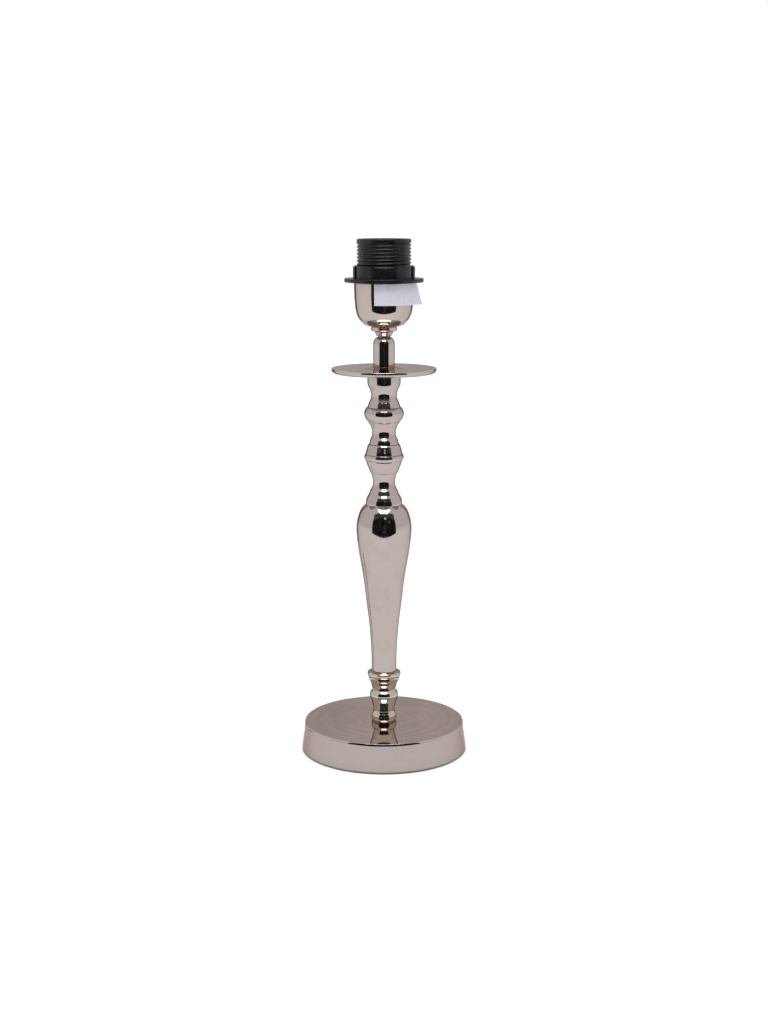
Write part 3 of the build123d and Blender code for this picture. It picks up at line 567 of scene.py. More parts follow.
def plated_finish(name, tone, roughness=0.30):
    """Plated or bare sheet metal: drawn scratches and dull patches."""
    made = Finish(name)
    patches = made.between(made.noise(240.0, 5.0, 0.65), 0.38, 0.72)
    dull = tuple(value * 0.62 for value in tone)
    base = made.blend(patches, tone, dull)
    scratches = made.noise(900.0, 3.0, 0.7, stretch=(1.0, 1.0, 6.0))
    rough = made.between(scratches, 0.35, 0.75, roughness * 0.8, roughness * 1.4)
    made.shade(Base_Color=base, Metallic=1.0, Roughness=rough)
    made.bump(scratches, 0.000008, 0.7)
    made.bump(made.noise(320.0, 2.0), 0.00002, 0.5)
    return made.material


def cast_iron_finish(name, tone):
    """Sand-cast iron under thin dark paint, with a few rust spots."""
    made = Finish(name)
    grit = made.noise(1100.0, 6.0, 0.72)
    rust = made.between(made.noise(130.0, 5.0, 0.65), 0.60, 0.72)
    light = tuple(value * 1.8 for value in tone)
    base = made.blend(made.between(grit, 0.35, 0.7), tone, light)
    base = made.blend(made.calc("MULTIPLY", rust, 0.8), base, (0.115, 0.045, 0.018))
    made.shade(Base_Color=base, Metallic=0.15, Roughness=made.between(grit, 0.3, 0.7, 0.55, 0.85))
    made.bump(grit, 0.00025)
    made.bump(made.noise(260.0, 3.0), 0.0003, 0.6)
    return made.material


def felt_finish(name, tone):
    """Needled felt: tangled fibres, lighter lint and a soft sheen."""
    made = Finish(name)
    fibres = made.noise(2200.0, 6.0, 0.75, stretch=(1.0, 1.7, 1.0), distortion=2.2)
    lint = made.between(made.noise(3400.0, 4.0, 0.8, stretch=(2.2, 1.0, 1.0), distortion=3.0), 0.62, 0.74)
    light = tuple(value * 2.4 for value in tone)
    base = made.blend(made.between(fibres, 0.3, 0.7), tone, light)
    base = made.blend(made.calc("MULTIPLY", lint, 0.4), base, (0.12, 0.12, 0.12))
    made.shade(Base_Color=base, Roughness=0.95, Sheen_Weight=0.4, Sheen_Roughness=0.5)
    made.bump(fibres, 0.00022)
    return made.material


def board_finish(name, tone):
    """Grey-brown pressed board: long fibres and flecks."""
    made = Finish(name)
    fibres = made.noise(600.0, 5.0, 0.7, stretch=(1.0, 3.5, 1.0), distortion=1.2)
    flecks = made.between(made.cells(900.0, stretch=(1.0, 2.5, 1.0)), 0.18, 0.08)
    dark = tuple(value * 0.66 for value in tone)
    base = made.blend(made.between(fibres, 0.3, 0.7), dark, tone)
    base = made.blend(made.calc("MULTIPLY", flecks, 0.5), base, tuple(value * 0.35 for value in tone))
    made.shade(Base_Color=base, Roughness=0.85)
    made.bump(fibres, 0.00012)
    return made.material


def rubber_finish(name, tone):
    """Soft black rubber with a dusty bloom."""
    made = Finish(name)
    bloom = made.between(made.noise(300.0, 5.0, 0.6), 0.4, 0.75)
    base = made.blend(made.calc("MULTIPLY", bloom, 0.5), tone, tuple(value * 2.6 for value in tone))
    made.shade(Base_Color=base, Roughness=made.between(bloom, 0.0, 1.0, 0.55, 0.78))
    made.bump(made.noise(2200.0, 3.0, 0.6), 0.00003)
    return made.material


def nylon_finish(name, tone):
    """Natural nylon: milky, slightly see-through, with faint flow lines."""
    made = Finish(name)
    flow = made.noise(420.0, 4.0, 0.6, stretch=(1.0, 1.0, 0.4), distortion=1.0)
    base = made.blend(made.between(flow, 0.3, 0.7), tone, tuple(value * 0.84 for value in tone))
    made.shade(Base_Color=base, Roughness=made.between(flow, 0.3, 0.7, 0.35, 0.5), Subsurface_Weight=0.25)
    made.shader.inputs["Subsurface Radius"].default_value = (0.0008, 0.0007, 0.0006)
    made.bump(flow, 0.00003)
    return made.material


def ceramic_finish(name, tone):
    """Unglazed steatite: chalky, faintly speckled, worn at its pressed grain."""
    made = Finish(name)
    grain = made.noise(1800.0, 5.0, 0.7)
    specks = made.between(made.cells(2400.0), 0.12, 0.05)
    base = made.blend(made.between(grain, 0.3, 0.7), tone, tuple(value * 0.88 for value in tone))
    base = made.blend(made.calc("MULTIPLY", specks, 0.25), base, (0.30, 0.27, 0.22))
    made.shade(Base_Color=base, Roughness=made.between(grain, 0.3, 0.7, 0.55, 0.72))
    made.bump(grain, 0.00005)
    return made.material


def paper_finish(name, tone):
    """Coated white paper: slight mottling, fine fibres, a dull gloss and soft handling creases."""
    made = Finish(name)
    mottle = made.noise(260.0, 5.0, 0.6)
    base = made.blend(made.between(mottle, 0.35, 0.7), tone, tuple(value * 0.93 for value in tone))
    marks = made.between(made.noise(700.0, 4.0, 0.7), 0.62, 0.72)
    base = made.blend(made.calc("MULTIPLY", marks, 0.14), base, (0.35, 0.33, 0.30))
    made.shade(Base_Color=base, Roughness=made.between(mottle, 0.3, 0.7, 0.38, 0.52))
    made.bump(made.noise(3000.0, 4.0, 0.7), 0.00001)
    made.bump(made.noise(110.0, 2.0), 0.00012, 0.7)
    return made.material


FINISHES = {
    # The polished and the foot nickel carry bands of painted shade at the column's seams and along the foot's lower
    # edge.
    "polished_nickel": lambda name, c: nickel_finish(name, c, shade_bands=column_shade_bands()),
    "stem_nickel": lambda name, c: nickel_finish(name, c, c.stem_nickel),
    "foot_nickel": lambda name, c: nickel_finish(
        name, c, c.foot_nickel, 0.22, 0.30, 1.0, node_top("foot_shell"), foot_shade_bands()
    ),
    "pan_nickel": lambda name, c: nickel_finish(
        name, c, tarnish=0.15, spots=0.20, rings=0.6, top=pan_face()
    ),
    "cup_nickel": cup_finish,
    "zinc_plate": lambda name, c: plated_finish(name, c.zinc, 0.34),
    "cast_iron": lambda name, c: cast_iron_finish(name, c.iron),
    "holder_plastic": lambda name, c: black_plastic_finish(name, c.holder, 0.22),
    "cap_plastic": lambda name, c: black_plastic_finish(name, c.holder, 0.48),
    "bush_nylon": lambda name, c: nylon_finish(name, c.nylon),
    "bush_rubber": lambda name, c: rubber_finish(name, c.rubber),
    "foot_felt": lambda name, c: felt_finish(name, c.felt),
    "pressed_board": lambda name, c: board_finish(name, c.board),
    "block_ceramic": lambda name, c: ceramic_finish(name, c.ceramic),
    "terminal_brass": lambda name, c: plated_finish(name, c.brass, 0.26),
    "shell_sheet": lambda name, c: plated_finish(name, c.shell, 0.22),
    "contact_bronze": lambda name, c: plated_finish(name, c.bronze, 0.28),
    "label_paper": lambda name, c: paper_finish(name, c.label),
}


def pan_face():
    """Level of the pan's flat face."""
    return node_top("drip_pan") - bpy.context.scene.lamp.pan.boss_height


def foot_shade_bands():
    """Levels of the painted shade along the foot's lower edge: a dark line on the nickel just over the felt, where the
    foot meets the floor.
    """
    return [node_bottom("foot_shell") + away for away in (0.0001, 0.0004, 0.0007)]


def column_shade_bands():
    """Levels of the column's seams and of the narrow ledge on the lower knop, where dark bands are painted: dark
    joints at the seams, and painted shade in these creases.
    """
    levels = [node_bottom(node) for node in ("lower_knop", "upper_knop", "pan_seat")]
    ledge = node_bottom("lower_knop") + 0.638 * (node_top("lower_knop") - node_bottom("lower_knop"))
    return [*levels, ledge]


def finish(name):
    """The named finish, made on its first use."""
    found = bpy.data.materials.get("lamp_" + name)
    return found or FINISHES[name]("lamp_" + name, bpy.context.scene.lamp.colours)


def dress(node, name):
    """Gives a CAD node one of the lamp's finishes."""
    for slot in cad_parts[node].material_slots:
        slot.material = finish(name)


def piece(name, bm, finish_name, nodes, body="root"):
    """Closes a mesh and makes it a shown piece that stands for CAD nodes."""
    bmesh.ops.remove_doubles(bm, verts=bm.verts, dist=MERGE_DISTANCE)
    bmesh.ops.recalc_face_normals(bm, faces=bm.faces)
    for face in bm.faces:
        face.smooth = True
    mesh = bpy.data.meshes.new(name)
    bm.to_mesh(mesh)
    bm.free()
    mesh.set_sharp_from_angle(angle=HARD_EDGE)
    mesh.materials.append(finish(finish_name))
    made = bpy.data.objects.new(name, mesh)
    bpy.context.scene.collection.objects.link(made)
    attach(made, body)
    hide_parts(*nodes)
    return made


def arc_slopes(points, gaps):
    """Directions and handle lengths of the arc through three points."""
    sides = 2 * np.diff(points, axis=0)
    centre = np.linalg.solve(sides, np.diff((points**2).sum(axis=1)))
    spokes = points - centre
    radius = np.linalg.norm(spokes[0])
    way = np.sign(np.linalg.det(sides))
    tangents = way * np.column_stack((-spokes[:, 1], spokes[:, 0])) / radius
    turns = 2 * np.arcsin(gaps / (2 * radius))
    return tangents, 4 / 3 * np.tan(turns / 4) * radius


def curve_slopes(points, gaps):
    """Directions and handle lengths of the line or natural cubic curve through the points."""
    count = len(points)
    rows = np.eye(count) * 2
    steps = np.diff(points, axis=0) / gaps[:, None]
    right = np.zeros((count, 2))
    rows[0, 1] = rows[-1, -2] = 1
    right[0] = 3 * steps[0]
    right[-1] = 3 * steps[-1]
    for i in range(1, count - 1):
        before, after = gaps[i - 1], gaps[i]
        rows[i, i - 1 : i + 2] = after, 2 * (before + after), before
        right[i] = 3 * (after * steps[i - 1] + before * steps[i])
    return np.linalg.solve(rows, right), gaps / 3


def draw_run(curve, points, step):
    """Adds one run of an outline to a curve: a line, an arc or a smooth curve."""
    points = np.array(points, float)
    gaps = np.linalg.norm(np.diff(points, axis=0), axis=1)
    slopes, reaches = (arc_slopes if len(points) == 3 else curve_slopes)(points, gaps)
    spline = curve.splines.new("BEZIER")
    spline.bezier_points.add(len(points) - 1)
    spline.resolution_u = max(1, math.ceil(gaps.mean() / step)) if step else 1
    before = np.append(reaches[:1], reaches)
    after = np.append(reaches, reaches[-1:])
    for knot, point, slope, back, ahead in zip(spline.bezier_points, points, slopes, before, after):
        knot.handle_left_type = knot.handle_right_type = "FREE"
        knot.co = (point[0], 0.0, point[1])
        knot.handle_left = (point[0] - slope[0] * back, 0.0, point[1] - slope[1] * back)
        knot.handle_right = (point[0] + slope[0] * ahead, 0.0, point[1] + slope[1] * ahead)


def outline_mesh(shown, hidden=()):
    """Bmesh with an outline's edges: shown runs cut finely, hidden ones only at their points."""
    turning = bpy.context.scene.lamp.turning
    curve = bpy.data.curves.new("outline", "CURVE")
    curve.dimensions = "3D"
    for run in shown:
        draw_run(curve, run, turning.ring_step)
    for start, end in zip(hidden, hidden[1:]):
        draw_run(curve, (start, end), None)
    holder = bpy.data.objects.new("outline", curve)
    mesh = bpy.data.meshes.new_from_object(holder)
    bm = bmesh.new()
    bm.from_mesh(mesh)
    bpy.data.objects.remove(holder)
    bpy.data.curves.remove(curve)
    bpy.data.meshes.remove(mesh)
    bmesh.ops.remove_doubles(bm, verts=bm.verts, dist=MERGE_DISTANCE)
    corners = [v for v in bm.verts if len(v.link_edges) == 2 and v.calc_edge_angle(0.0) > CORNER_ANGLE]
    bmesh.ops.bevel(
        bm,
        geom=corners,
        offset=turning.corner,
        offset_type="OFFSET",
        segments=2,
        profile=0.5,
        affect="VERTICES",
        material=-1,
        clamp_overlap=True,
    )
    return bm


def turn(bm, steps=None):
    """Spins the outline once round the rod's axis."""
    bmesh.ops.spin(
        bm,
        geom=bm.verts[:] + bm.edges[:],
        cent=(0.0, 0.0, 0.0),
        axis=(0.0, 0.0, 1.0),
        dvec=(0.0, 0.0, 0.0),
        angle=FULL_TURN,
        steps=steps or bpy.context.scene.lamp.turning.steps,
        use_merge=True,
    )
    return bm


def share_runs(shares, node, low_radius, high_radius):
    """Runs of a turned piece's outline, from its table of shares and its CAD node's box."""
    bottom, top, radius = node_bottom(node), node_top(node), node_reach(node)
    here = (low_radius, bottom)
    runs = []
    for number, run in enumerate(shares):
        points = [here] + [(r * radius, bottom + z * (top - bottom)) for r, z in run]
        if number == len(shares) - 1:
            points.append((high_radius, top))
        runs.append(points)
        here = points[-1]
    return runs


def rounded(before, corner, after, radius):
    """The three points of the arc that rounds a corner."""
    corner = Vector(corner)
    back = (Vector(before) - corner).normalized()
    ahead = (Vector(after) - corner).normalized()
    half = back.angle(ahead) / 2
    inward = (back + ahead).normalized()
    centre = corner + inward * (radius / math.sin(half))
    cut = radius / math.tan(half)
    return corner + back * cut, centre - inward * radius, corner + ahead * cut


def swell(centre, radius, low, high):
    """The three points of an arc round a centre, between two angles above the level."""
    return [
        (centre[0] + radius * math.cos(turn), centre[1] + radius * math.sin(turn))
        for turn in (low, (low + high) / 2, high)
    ]


def turned_piece(name, shares, low_radius, high_radius, finish_name="polished_nickel"):
    """Turned column piece with a plain bore, in the place of its CAD node."""
    bore = bpy.context.scene.lamp.turning.rod_hole
    runs = share_runs(shares, name, low_radius, high_radius)
    start, end = runs[0][0], runs[-1][-1]
    hidden = [end, (bore, end[1]), (bore, start[1]), start]
    return piece(name + "_turned", turn(outline_mesh(runs, hidden)), finish_name, [name])


def thread_wall(points, pitch, bottom, top, steps):
    """Open wall of a thread: one turn's outline, repeated, wound and cut level at both ends."""
    bm = bmesh.new()
    turns = math.ceil((top - bottom) / pitch) + 2
    chain = [(r, bottom - pitch + (number + z) * pitch) for number in range(turns) for r, z in points]
    wound(bm, chain, steps, pitch)
    bmesh.ops.remove_doubles(bm, verts=bm.verts, dist=MERGE_DISTANCE)
    for level, side in ((bottom, -1.0), (top, 1.0)):
        bmesh.ops.bisect_plane(
            bm,
            geom=bm.verts[:] + bm.edges[:] + bm.faces[:],
            dist=MERGE_DISTANCE,
            plane_co=(0.0, 0.0, level),
            plane_no=(0.0, 0.0, side),
            clear_outer=True,
        )
    bmesh.ops.remove_doubles(bm, verts=bm.verts, dist=MERGE_DISTANCE * 5)
    return bm


def wound(bm, outline, steps, rise=0.0):
    """Adds a wall wound once round the rod's axis from the points of its outline."""
    verts = [bm.verts.new((r, 0.0, z)) for r, z in outline]
    edges = [bm.edges.new(pair) for pair in zip(verts, verts[1:])]
    bmesh.ops.spin(
        bm,
        geom=verts + edges,
        cent=(0.0, 0.0, 0.0),
        axis=(0.0, 0.0, 1.0),
        dvec=(0.0, 0.0, rise / steps),
        angle=FULL_TURN,
        steps=steps,
        use_merge=rise == 0,
    )


def open_loops(bm):
    """Loops of open edges, from the lowest up and from the inner to the outer."""
    left = {edge: None for edge in bm.edges if edge.is_boundary}
    loops = []
    while left:
        loop = [left.popitem()[0]]
        for edge in loop:
            for vert in edge.verts:
                near = [other for other in vert.link_edges if other in left]
                loop += near
                for other in near:
                    del left[other]
        loops.append(loop)
    return sorted(loops, key=loop_place)


def loop_place(loop):
    """Mean level of a loop and its greatest distance from the axis."""
    verts = [vert for edge in loop for vert in edge.verts]
    level = sum(vert.co.z for vert in verts) / len(verts)
    return round(level, 4), max(vert.co.xy.length for vert in verts)


def join(bm, other):
    """Adds another bmesh to this one and frees it."""
    mesh = bpy.data.meshes.new("joined")
    other.to_mesh(mesh)
    other.free()
    bm.from_mesh(mesh)
    bpy.data.meshes.remove(mesh)


def close_with(bm, outline, steps, loops):
    """Adds a turned wall and bridges its first and last rings to the open loops that are given."""
    known = set(bm.edges)
    wound(bm, outline, steps)
    new = [edge for edge in bm.edges if edge not in known and edge.is_boundary]
    for loop, point in zip(loops, (outline[0], outline[-1])):
        ring = [
            edge
            for edge in new
            if all(abs(vert.co.z - point[1]) < MERGE_DISTANCE for vert in edge.verts)
            and all(abs(vert.co.xy.length - point[0]) < MERGE_DISTANCE * 3 for vert in edge.verts)
        ]
        bmesh.ops.bridge_loops(bm, edges=loop + ring)


def seen_ray(tree):
    """Output that is 1 for what the camera sees directly, in gloss or through glass, and otherwise 0."""
    path = tree.nodes.new("ShaderNodeLightPath")
    seen = path.outputs["Is Camera Ray"]
    for ray in ("Is Glossy Ray", "Is Transmission Ray"):
        highest = tree.nodes.new("ShaderNodeMath")
        highest.operation = "MAXIMUM"
        tree.links.new(seen, highest.inputs[0])
        tree.links.new(path.outputs[ray], highest.inputs[1])
        seen = highest.outputs[0]
    return seen


class LampOperator:
    """What the lamp's operators have in common."""

    bl_options = {"REGISTER", "UNDO"}


class LAMP_OT_studio(LampOperator, bpy.types.Operator):
    """Set up the floor, the pale surroundings, the soft light, the reflecting cards and the camera"""

    bl_idname = "lamp.studio"
    bl_label = "Studio"

    def execute(self, context):
        studio = context.scene.lamp.studio
        self.make_floor(studio)
        self.make_world(context.scene, studio)
        self.make_key(studio)
        self.make_cards(studio)
        self.make_camera(context.scene, studio)
        context.scene.view_settings.view_transform = "Standard"
        return {"FINISHED"}

    def make_floor(self, studio):
        bm = bmesh.new()
        bmesh.ops.create_circle(bm, cap_ends=True, segments=96, radius=studio.floor)
        made = Finish("studio_floor")
        tone = made.blend(
            made.between(made.noise(3.0, 4.0), 0.3, 0.7),
            (studio.floor_tone,) * 3,
            (studio.floor_tone * 0.985,) * 3,
        )
        made.shade(Base_Color=tone, Roughness=1.0, Specular_IOR_Level=0.0)
        made.shade(Emission_Color=(1.0, 1.0, 1.0, 1.0))
        made.shade(Emission_Strength=made.calc("MULTIPLY", seen_ray(made.tree), studio.floor_lift))
        self.stage_object("studio_floor", bm, made.material)

    def stage_object(self, name, bm, material):
        mesh = bpy.data.meshes.new(name)
        bm.to_mesh(mesh)
        bm.free()
        mesh.materials.append(material)
        made = bpy.data.objects.new(name, mesh)
        bpy.context.scene.collection.objects.link(made)
        return made

    def make_world(self, scene, studio):
        world = bpy.data.worlds.new("studio_world")
        world.use_nodes = True
        scene.world = world
        tree = world.node_tree
        backdrop = tree.nodes["Background"]
        backdrop.inputs["Color"].default_value = (1.0, 1.0, 1.0, 1.0)
        strength = tree.nodes.new("ShaderNodeMapRange")
        tree.links.new(seen_ray(tree), strength.inputs["Value"])
        strength.inputs["To Min"].default_value = studio.fill
        strength.inputs["To Max"].default_value = 1.0
        tree.links.new(strength.outputs[0], backdrop.inputs["Strength"])

    def make_key(self, studio):
        light = bpy.data.lights.new("soft_key", "AREA")
        light.shape = "RECTANGLE"
        light.size = studio.key_width
        light.size_y = studio.key_height
        light.energy = studio.key_energy
        made = bpy.data.objects.new("soft_key", light)
        middle = Vector((0.0, 0.0, (cad_box[0].z + cad_box[1].z) / 2))
        back = Vector((0.0, -math.cos(studio.key_elevation), math.sin(studio.key_elevation)))
        made.location = middle + back * studio.key_distance
        made.rotation_euler = back.to_track_quat("Z", "Y").to_euler()
        made.visible_glossy = False
        bpy.context.scene.collection.objects.link(made)

    def make_cards(self, studio):
        for card in CARDS:
            self.card(studio.card_gain, *card)

    def card(
        self, gain, name, tone, unevenness, direction, distance, half_width, half_height, level, slope, roll
    ):
        """Card that only shows in reflections, and faces the lamp where it is upright."""
        bm = bmesh.new()
        bmesh.ops.create_grid(bm, x_segments=4, y_segments=4, size=1.0)
        bmesh.ops.scale(bm, vec=(half_width, half_height, 1.0), verts=bm.verts)
        for degrees, axis in ((roll, "Z"), (slope, "X")):
            bmesh.ops.rotate(bm, matrix=Matrix.Rotation(math.radians(degrees), 3, axis), verts=bm.verts)
        bmesh.ops.translate(bm, vec=(0.0, -distance, level), verts=bm.verts)
        bmesh.ops.rotate(bm, matrix=Matrix.Rotation(math.radians(direction), 3, "Z"), verts=bm.verts)
        made = Finish("studio_" + name)
        low, high = tone * gain * (1 - unevenness), tone * gain * (1 + unevenness)
        uneven = made.between(made.noise(9.0, 4.0), 0.3, 0.7, low, high)
        made.shade(Base_Color=(0.0, 0.0, 0.0, 1.0), Specular_IOR_Level=0.0, Roughness=1.0)
        made.shade(Emission_Color=(1.0, 1.0, 1.0, 1.0), Emission_Strength=uneven)
        card = self.stage_object(name, bm, made.material)
        for ray in ("camera", "diffuse", "transmission", "volume_scatter", "shadow"):
            setattr(card, "visible_" + ray, False)

    def make_camera(self, scene, studio):
        camera = bpy.data.cameras.new("photo_view")
        camera.lens = studio.lens
        made = bpy.data.objects.new("photo_view", camera)
        made.location = (0.0, -studio.camera_distance, studio.camera_level)
        made.rotation_euler = (QUARTER_TURN - studio.camera_tilt, 0.0, 0.0)
        scene.collection.objects.link(made)
        scene.camera = made


class LAMP_OT_foot(LampOperator, bpy.types.Operator):
    """Turn the wide foot with its hollow and cut the inlet hole in its rear"""

    bl_idname = "lamp.foot"
    bl_label = "Foot"

    def execute(self, context):
        foot = context.scene.lamp.foot
        bore = context.scene.lamp.turning.rod_hole
        outer, top = node_reach("foot_shell"), node_top("foot_shell")
        shoulder = outer - foot.taper
        rise = top - foot.felt
        wall = [(outer, foot.felt)]
        wall += [(outer - t * foot.taper, foot.felt + h * rise) for t, h in FOOT_WALL_SHARES]
        edge_level = top - foot.edge * math.sin(foot.edge_end)
        edge_height = foot.edge * (math.sin(foot.edge_end) - math.sin(foot.edge_start))
        start = shoulder + edge_height * foot.taper / rise * 0.82
        centre = (start - foot.edge * math.cos(foot.edge_start), edge_level)
        edge = swell(centre, foot.edge, foot.edge_start, foot.edge_end)
        under = top - foot.wall
        shown = [wall + [edge[0]], edge, (edge[2], (bore, top))]
        hidden = [(bore, top), (bore, under), (shoulder - foot.wall, under)]
        hidden += [(outer - foot.wall, foot.felt), wall[0]]
        bm = turn(outline_mesh(shown, hidden))
        made = piece("foot_shell_turned", bm, "foot_nickel", ["foot_shell"])
        self.cut_inlet(made, foot, outer)
        return {"FINISHED"}

    def cut_inlet(self, made, foot, outer):
        """Bores the inlet hole through the rear wall."""
        bm = bmesh.new()
        bmesh.ops.create_cone(
            bm, cap_ends=True, segments=64, radius1=foot.inlet_hole, radius2=foot.inlet_hole,
            depth=outer * 0.3,
        )
        bmesh.ops.rotate(bm, matrix=Matrix.Rotation(QUARTER_TURN, 3, "X"), verts=bm.verts)
        bmesh.ops.translate(bm, vec=(0.0, outer, foot.inlet_level), verts=bm.verts)
        mesh = bpy.data.meshes.new("inlet_cutter")
        bm.to_mesh(mesh)
        bm.free()
        cutter = bpy.data.objects.new("inlet_cutter", mesh)
        bpy.context.scene.collection.objects.link(cutter)
        modifier = made.modifiers.new("inlet", "BOOLEAN")
        modifier.operation = "DIFFERENCE"
        modifier.solver = "EXACT"
        modifier.object = cutter
        cut = bpy.data.meshes.new_from_object(made.evaluated_get(bpy.context.evaluated_depsgraph_get()))
        made.modifiers.remove(modifier)
        old = made.data
        made.data = cut
        bpy.data.meshes.remove(old)
        cut.name = made.name
        bpy.data.objects.remove(cutter)
        bpy.data.meshes.remove(mesh)


class LAMP_OT_column(LampOperator, bpy.types.Operator):
    """Turn the stem, the vase, the neck, the two knops and the pan's seat"""

    bl_idname = "lamp.column"
    bl_label = "Column"

    def execute(self, context):
        column = context.scene.lamp.column
        lip = context.scene.lamp.turning.seam_lip
        neck_radius, seat_radius = node_reach("neck_piece"), node_reach("pan_seat")
        turned_piece("stem_collar", STEM_SHARES, column.stem_foot, column.vase_foot + lip, "stem_nickel")
        turned_piece("vase_body", VASE_SHARES, column.vase_foot, neck_radius - lip / 2)
        turned_piece("neck_piece", NECK_SHARES, neck_radius, column.lower_knop_foot - lip)
        turned_piece("lower_knop", LOWER_KNOP_SHARES, column.lower_knop_foot, column.upper_knop_foot + lip)
        turned_piece("upper_knop", UPPER_KNOP_SHARES, column.upper_knop_foot, seat_radius + lip)
        turned_piece("pan_seat", PAN_SEAT_SHARES, seat_radius, seat_radius)
        return {"FINISHED"}


class LAMP_OT_pan(LampOperator, bpy.types.Operator):
    """Turn the flat pan and the tube that stands on it"""

    bl_idname = "lamp.pan"
    bl_label = "Pan and Tube"

    def execute(self, context):
        pan = context.scene.lamp.pan
        turning = context.scene.lamp.turning
        self.make_pan(pan, turning.rod_hole)
        self.make_tube(pan, turning.thread_hole)
        return {"FINISHED"}

    def make_pan(self, pan, bore):
        radius, bottom = node_reach("drip_pan"), node_bottom("drip_pan")
        boss_top = node_top("drip_pan")
        face = boss_top - pan.boss_height
        centre = (radius - pan.rim, face - pan.rim * math.sin(pan.rim_end))
        rim = swell(centre, pan.rim, -math.asin((centre[1] - bottom) / pan.rim), pan.rim_end)
        foot = (pan.boss, face)
        crown = (pan.boss - pan.boss_slope, boss_top)
        mouth = (bore, boss_top)
        shown = [((bore, bottom), rim[0]), rim, (rim[2], foot), (foot, crown), (crown, mouth)]
        bm = turn(outline_mesh(shown, [mouth, (bore, bottom)]))
        piece("drip_pan_turned", bm, "pan_nickel", ["drip_pan"])

    def make_tube(self, pan, bore):
        radius, bottom, top = node_reach("neck_tube"), node_bottom("neck_tube"), node_top("neck_tube")
        runs = share_runs(TUBE_SHARES, "neck_tube", radius, pan.tube_mouth)
        inner, ledge = radius - pan.tube_wall, top - pan.tube_thread
        hidden = [(pan.tube_mouth, top), (bore, top), (bore, ledge), (inner, ledge), (inner, bottom), (radius, bottom)]
        bm = turn(outline_mesh(runs, hidden))
        piece("neck_tube_turned", bm, "polished_nickel", ["neck_tube"])


class LAMP_OT_rod(LampOperator, bpy.types.Operator):
    """Make the hollow rod, with a real thread at its two ends"""

    bl_idname = "lamp.rod"
    bl_label = "Threaded Rod"

    def execute(self, context):
        rod = context.scene.lamp.rod
        radius = node_reach("threaded_rod")
        bottom, top = node_bottom("threaded_rod"), node_top("threaded_rod")
        steps = 72
        root = radius - rod.depth
        tooth = ((root, 0.06), (radius, 0.44), (radius, 0.56), (root, 0.94))
        low_end, high_start = bottom + rod.low_thread, top - rod.high_thread
        bm = thread_wall(tooth, rod.pitch, bottom, low_end, steps)
        join(bm, thread_wall(tooth, rod.pitch, high_start, top, steps))
        loops = open_loops(bm)
        runout = rod.pitch / 2
        middle = ((radius, high_start - runout), (radius, low_end + runout))
        close_with(bm, middle, steps, (loops[2], loops[1]))
        bore = ((rod.bore, top), (rod.bore, bottom))
        close_with(bm, bore, steps, (loops[3], loops[0]))
        piece("threaded_rod_cut", bm, "zinc_plate", ["threaded_rod"])
        dress("rod_end_bush", "bush_nylon")
        return {"FINISHED"}


class LAMP_OT_cup(LampOperator, bpy.types.Operator):
    """Turn the thin cup and the ring nut that carries it"""

    bl_idname = "lamp.cup"
    bl_label = "Cup and Ring Nut"

    def execute(self, context):
        holder = context.scene.lamp.holder
        turning = context.scene.lamp.turning
        self.make_cup(holder, turning.rod_hole)
        self.make_nut(holder, turning.thread_hole)
        dress("cup_washer", "zinc_plate")
        return {"FINISHED"}

    def make_cup(self, holder, bore):
        radius, bottom, top = node_reach("holder_cup"), node_bottom("holder_cup"), node_top("holder_cup")
        runs = share_runs(CUP_SHARES, "holder_cup", holder.cup_boss, radius)
        inner_radius = radius - holder.cup_wall
        floor = bottom + holder.cup_floor
        boss_share = CUP_SHARES[1][-1][1]
        stretch = (top - floor) / (1 - boss_share)
        inside = [(r * inner_radius, floor + (z - boss_share) * stretch) for r, z in CUP_SHARES[1] + CUP_SHARES[2]]
        inside.append((inner_radius, top))
        shown = runs + [(runs[-1][-1], inside[-1]), inside[::-1]]
        hidden = [inside[0], (bore, floor), (bore, bottom), runs[0][0]]
        bm = turn(outline_mesh(shown, hidden))
        piece("holder_cup_turned", bm, "cup_nickel", ["holder_cup"])

    def make_nut(self, holder, bore):
        bottom, top = node_bottom("seat_nut"), node_top("seat_nut")
        radius = node_reach("seat_nut")
        corners = [
            (bore, bottom),
            (radius - holder.nut_taper, bottom),
            (radius, top - holder.nut_rim),
            (radius, top - holder.nut_chamfer),
            (radius - holder.nut_chamfer, top),
            (bore, top),
        ]
        bm = turn(outline_mesh(list(zip(corners, corners[1:])), [corners[-1], corners[0]]))
        piece("seat_nut_turned", bm, "polished_nickel", ["seat_nut"])


